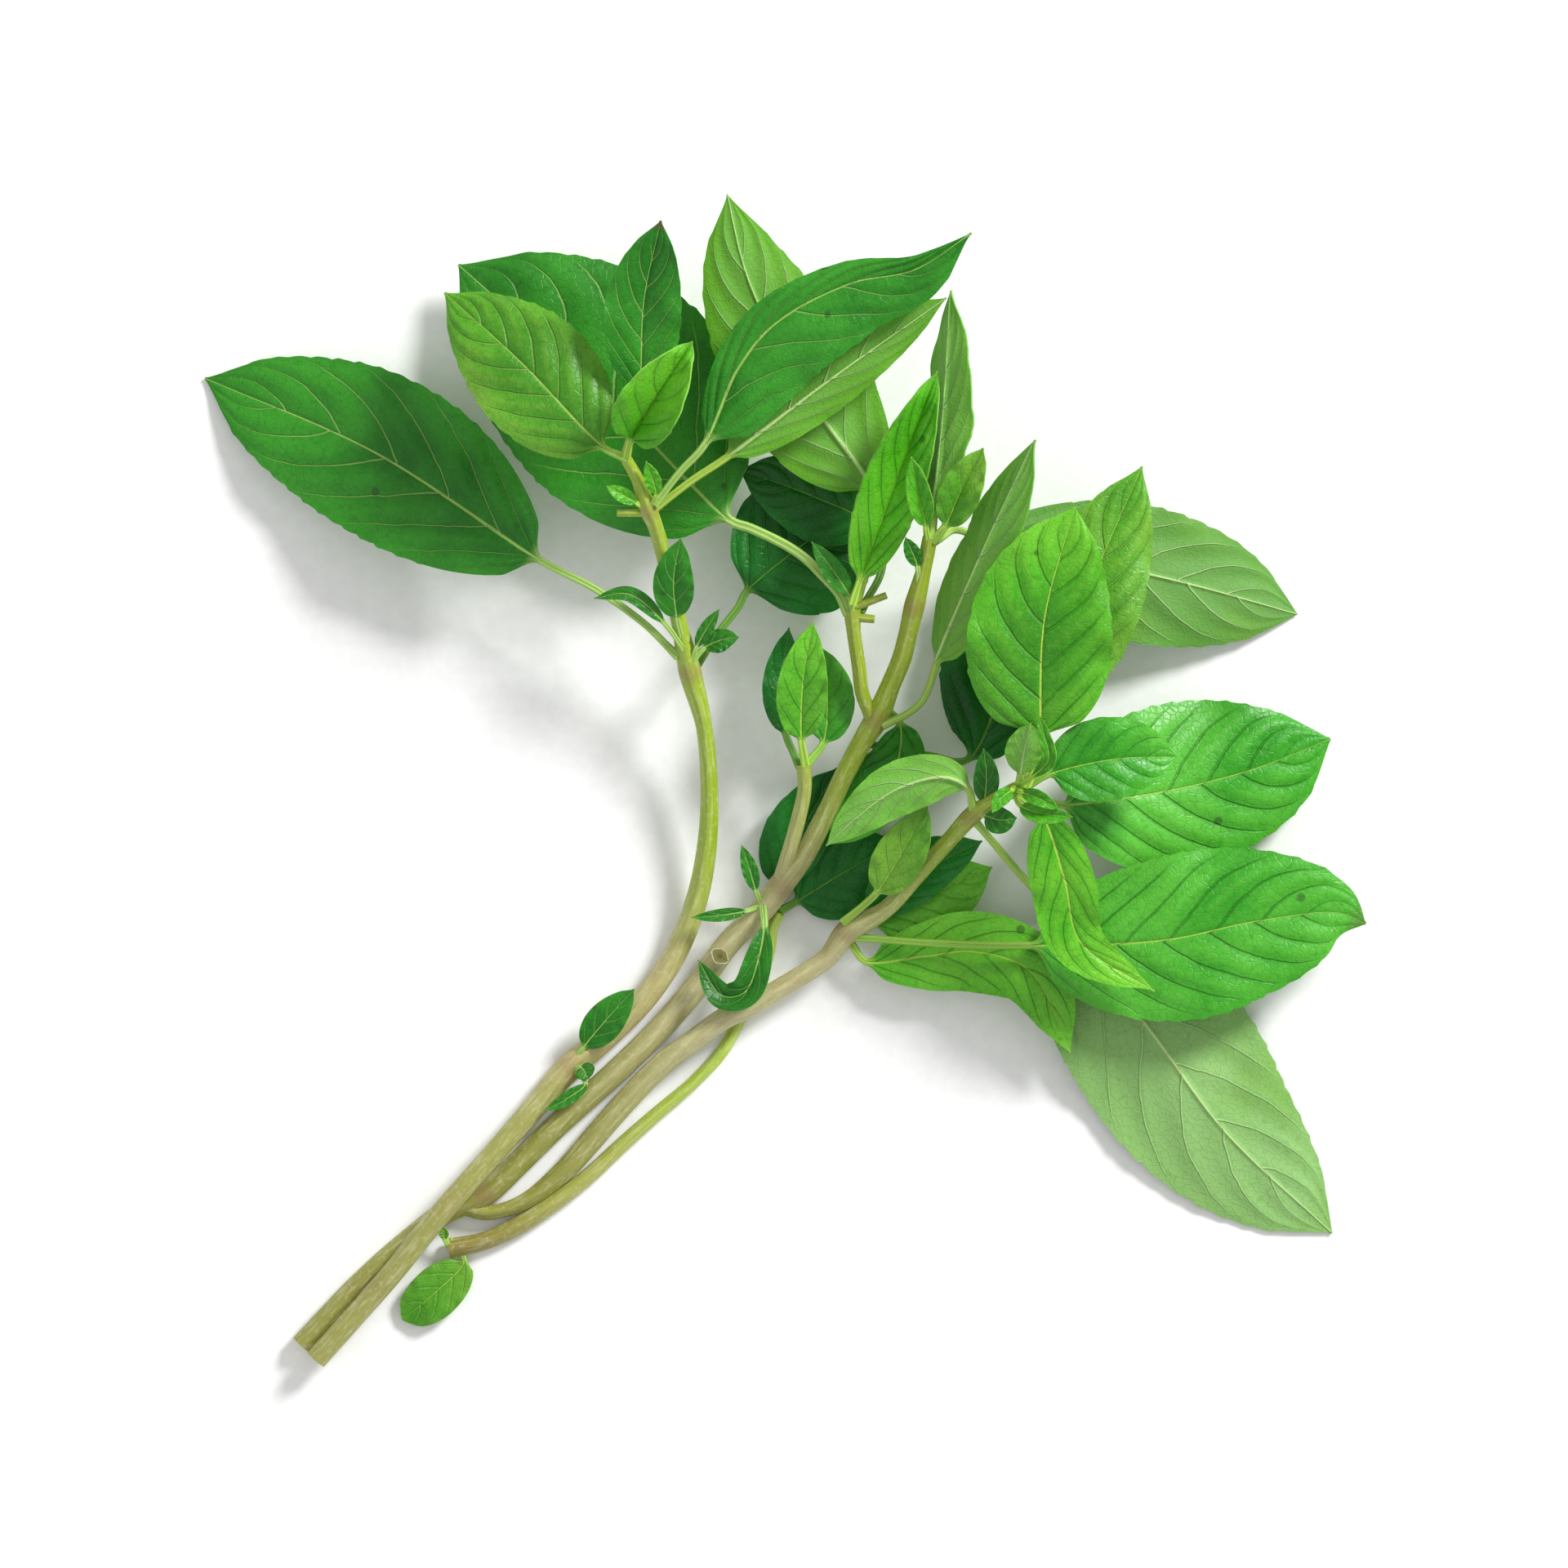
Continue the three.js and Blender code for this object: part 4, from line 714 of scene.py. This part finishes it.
        "width": [4.8, 4.8], "fold": 15, "tone": "fresh", "pairs": 4,
    },
    "right_leaf_under_west": {
        "stalk": [[13.8, -25.2, 4.6]],
        "blade": [[15.5, -23.8, 4.9], [25.5, -16.2, 7], [36.5, -10.5, 9]],
        "width": [6, 5], "fold": 3, "tone": "deep", "pairs": 5,
    },
    "right_leaf_under_east": {
        "stalk": [[14.2, -27.2, 4.1]],
        "blade": [[16.5, -26, 3.7], [27, -20.5, 3.8], [38.4, -15.3, 5]],
        "width": [6, 8], "fold": 2, "tone": "lime", "pairs": 5,
    },
    "right_leaf_bud": {
        "stalk": [[43.1, 0.9, 28.8]],
        "blade": [[43.2, 1.9, 29.9], [43.8, 6, 32.3], [44.9, 11.1, 34]],
        "width": [3.5, 3.5], "belly": 0.45, "fold": 10, "roll": 180, "wave": 0.2,
        "tone": "pale", "pairs": 4,
    },
    "slender_leaf": {
        "stalk": [[0.6, -22.7, 3]],
        "blade": [[2.2, -21.8, 1.8], [10, -17, 1.2], [21, -10.5, 1.8]],
        "width": [8, 8], "fold": 0, "wave": 0.2, "tone": "deep", "pairs": 5,
    },
}
for number, (node, leaf) in enumerate(LARGE_LEAVES.items()):
    material, slot = FINISHES[leaf["tone"]]
    piece_from(node + "_blade", [leaf_surface(leaf, number)], material, node)

# The smallest leaves, scales and buds, which sit on the stems in the angles of the grown leaves. They are
# the same kind of blade, with few veins and hardly any teeth, and each grows straight out of its stem.
# Those near the tips of the stems are the youngest, so they share a brighter finish.

LEFT_SMALL = [
    {"stalk": [[-38.5, -51, 3.5]], "blade": [[-37, -48.6, 4.5], [-32, -42.6, 6], [-27.6, -37.8, 7]],
     "width": [3.5, 3.5]},
    {"stalk": [[-38.5, -52.5, 4]], "blade": [[-37.4, -52.2, 5], [-36, -54.4, 5.8]], "width": [2, 2]},
    {"stalk": [[-38.6, -52.8, 3.4]], "blade": [[-36.6, -55.2, 5.2], [-40, -58, 5.6], [-44, -60.2, 6]],
     "width": [1.3, 1.3]},
    {"stalk": [[-18.6, 26, 17.6]], "blade": [[-19.6, 30.4, 20], [-20.2, 37.5, 23.4], [-18.9, 44.9, 25.4]],
     "width": [3.8, 3.8]},
    {"stalk": [[-18, 24, 17]], "blade": [[-22, 29.6, 20.4], [-28.4, 34.8, 21.4], [-34.8, 34, 21.6]],
     "width": [1.5, 1.5]},
    {"stalk": [[-17, 22, 16]], "blade": [[-16, 25.2, 17.6], [-14, 28.8, 19], [-11.9, 32, 20]],
     "width": [1.3, 1.3]},
    {"stalk": [[-17, 22, 15.6]], "blade": [[-14.6, 25, 16.2], [-11, 26.6, 17], [-8.3, 26.9, 17.4]],
     "width": [2.2, 2.2]},
]
MIDDLE_SMALL = [
    {"stalk": [[12.5, 31.6, 19.6]], "blade": [[12, 34.4, 20.6], [8.6, 39.6, 22], [5.1, 44.3, 23]],
     "width": [2, 2]},
    {"stalk": [[24.6, 36, 24]], "blade": [[24.4, 39.8, 26], [22.2, 45, 28.8]], "width": [1.5, 1.5]},
    {"stalk": [[-4.5, -22.6, 6]], "blade": [[-7, -23.4, 8], [-12, -24.2, 9], [-17, -24.6, 9.4]],
     "width": [1.2, 1.2]},
    {"stalk": [[-4.2, -22.4, 6]], "blade": [[-5.2, -19.6, 8], [-6.4, -15.4, 9], [-7.8, -11.3, 9.6]],
     "width": [1.5, 1.5]},
    {"stalk": [[35, -5, 21.6]], "blade": [[36.4, -3.4, 23], [37, 1.4, 25.6], [36.5, 6.4, 27]],
     "width": [2.4, 2.4]},
    {"stalk": [[35.4, -5.4, 21.4]], "blade": [[36.8, -5.8, 22.6], [39.6, -6.6, 23.4], [42.6, -6.2, 23.2]],
     "width": [2.6, 2.6]},
]
YOUNG_SMALL = [
    {"stalk": [[-24.6, 50.6, 26]], "blade": [[-23.4, 52.8, 28], [-25.1, 58.7, 32]], "width": [1.5, 1.5]},
    {"stalk": [[-25.3, 50.2, 25.6]], "blade": [[-27, 51.4, 27.2], [-32.4, 54.4, 29]], "width": [1.4, 1.4]},
    {"stalk": [[26.4, 44, 27.2]], "blade": [[25.9, 47, 29.4], [24.4, 53.4, 33.6], [23.2, 59.4, 37]],
     "width": [2.5, 2.5], "fold": 30},
    {"stalk": [[42, -1.4, 27.2]], "blade": [[43.2, -4, 31], [47, -5.4, 33.4], [52.5, -6, 34.6]],
     "width": [1.9, 1.9], "fold": 30},
    {"stalk": [[42.4, -1, 27.8]], "blade": [[43.6, -1.6, 31.6], [46.4, -2.6, 34], [50, -4.6, 35]],
     "width": [1.5, 1.5], "fold": 35},
    {"stalk": [[42.8, -0.4, 27.6]],
     "blade": [[45.4, 1.4, 32.4], [48.2, 4.6, 35], [47.4, 8.8, 36], [46.2, 13, 36.4]],
     "width": [1.4, 1.4], "fold": 35},
    {"stalk": [[42.4, -0.6, 27.6]], "blade": [[41.4, -1.2, 30.6], [39.4, -2.8, 32.4], [38, -5.2, 33]],
     "width": [1.5, 1.5], "fold": 30},
]
SLENDER_SMALL = [
    {"stalk": [[-60.6, -85.6, 1.6]], "blade": [[-59, -88, 1.4], [-64.5, -94, 1.5], [-70.5, -99, 1]],
     "width": [4.8, 4.6], "belly": 0.5, "sharp": 1, "fold": 10, "toothed": 0},
    {"stalk": [[-61.5, -85.8, 2]], "blade": [[-62.6, -84, 3.2], [-62.8, -81.8, 4]], "width": [0.9, 0.9]},
]
SMALL_FORM = {"stalk_radius": 0.5, "pairs": 4, "pillow": 0.08, "wave": 0.0, "toothed": 0.12}
SMALL_PIECES = {
    "left_small_leaves": (LEFT_SMALL, "dark"),
    "middle_small_leaves": (MIDDLE_SMALL, "dark"),
    "young_tip_leaves": (YOUNG_SMALL, "lime"),
    "slender_small_leaves": (SLENDER_SMALL, "fresh"),
}
for name, (leaves, tone) in SMALL_PIECES.items():
    surfaces = [leaf_surface({**SMALL_FORM, **leaf}, number) for number, leaf in enumerate(leaves)]
    material, slot = FINISHES[tone]
    piece_from(name, surfaces, material)

# The table, the light and the camera. The bunch lies on a white table. A soft light stands at the upper
# right, a weak one opposite, and the camera looks straight down on the bunch's middle from well above.

TABLE_SIDE = 6.0
TABLE_TOP = -0.0002            # just under the leaves and stems, so that the faces don't coincide
SKY = 0.64                     # strength of the even white light from all round
VIEW_HEIGHT = 2.4
VIEW_LEVEL = 0.015             # the height in the bunch that the frame's width is measured at
FRAME_SIDE = 0.288             # width of the picture at that height
SENSOR = 36.0

bpy.ops.mesh.primitive_plane_add(size=TABLE_SIDE, location=(0, 0, TABLE_TOP))
table = bpy.context.object
table.name = "table_top"
white = Finish("white_table", 0.75, 0.2)
grain = white.ramp(white.noise(400.0, 2.0), 0.3, 0.7)
white.join(white.mix(grain, shade("#f4f4f3"), shade("#f8f8f7")), white.shader.inputs["Base Color"])
table.data.materials.append(white.material)

world = bpy.data.worlds.new("studio")
bpy.context.scene.world = world
world.use_nodes = True
sky = world.node_tree.nodes["Background"].inputs
sky["Color"].default_value = (1.0, 1.0, 1.0, 1.0)
sky["Strength"].default_value = SKY


def soft_light(name, place, breadth, power):
    """A round area light that is turned to the middle of the table."""
    lamp = bpy.data.lights.new(name, "AREA")
    lamp.shape = "DISK"
    lamp.size = breadth
    lamp.energy = power
    holder = bpy.data.objects.new(name, lamp)
    holder.location = place
    aim = -np.array(place) / np.linalg.norm(place)
    holder.rotation_euler = (math.acos(-aim[2]), 0.0, math.atan2(aim[1], aim[0]) - math.pi / 2)
    bpy.context.collection.objects.link(holder)


soft_light("main_light", (1.05, 1.05, 1.0), 0.5, 36.0)
soft_light("fill_light", (-1.0, -0.6, 1.8), 1.4, 2.0)

eye = bpy.data.cameras.new("eye")
eye.sensor_width = SENSOR
eye.lens = SENSOR * VIEW_HEIGHT / FRAME_SIDE
eye.clip_end = 20.0
camera = bpy.data.objects.new("camera", eye)
camera.location = (-MIDDLE[0] * MM, -MIDDLE[1] * MM, VIEW_HEIGHT + VIEW_LEVEL)
bpy.context.collection.objects.link(camera)
bpy.context.scene.camera = camera
bpy.context.scene.view_settings.view_transform = "Standard"
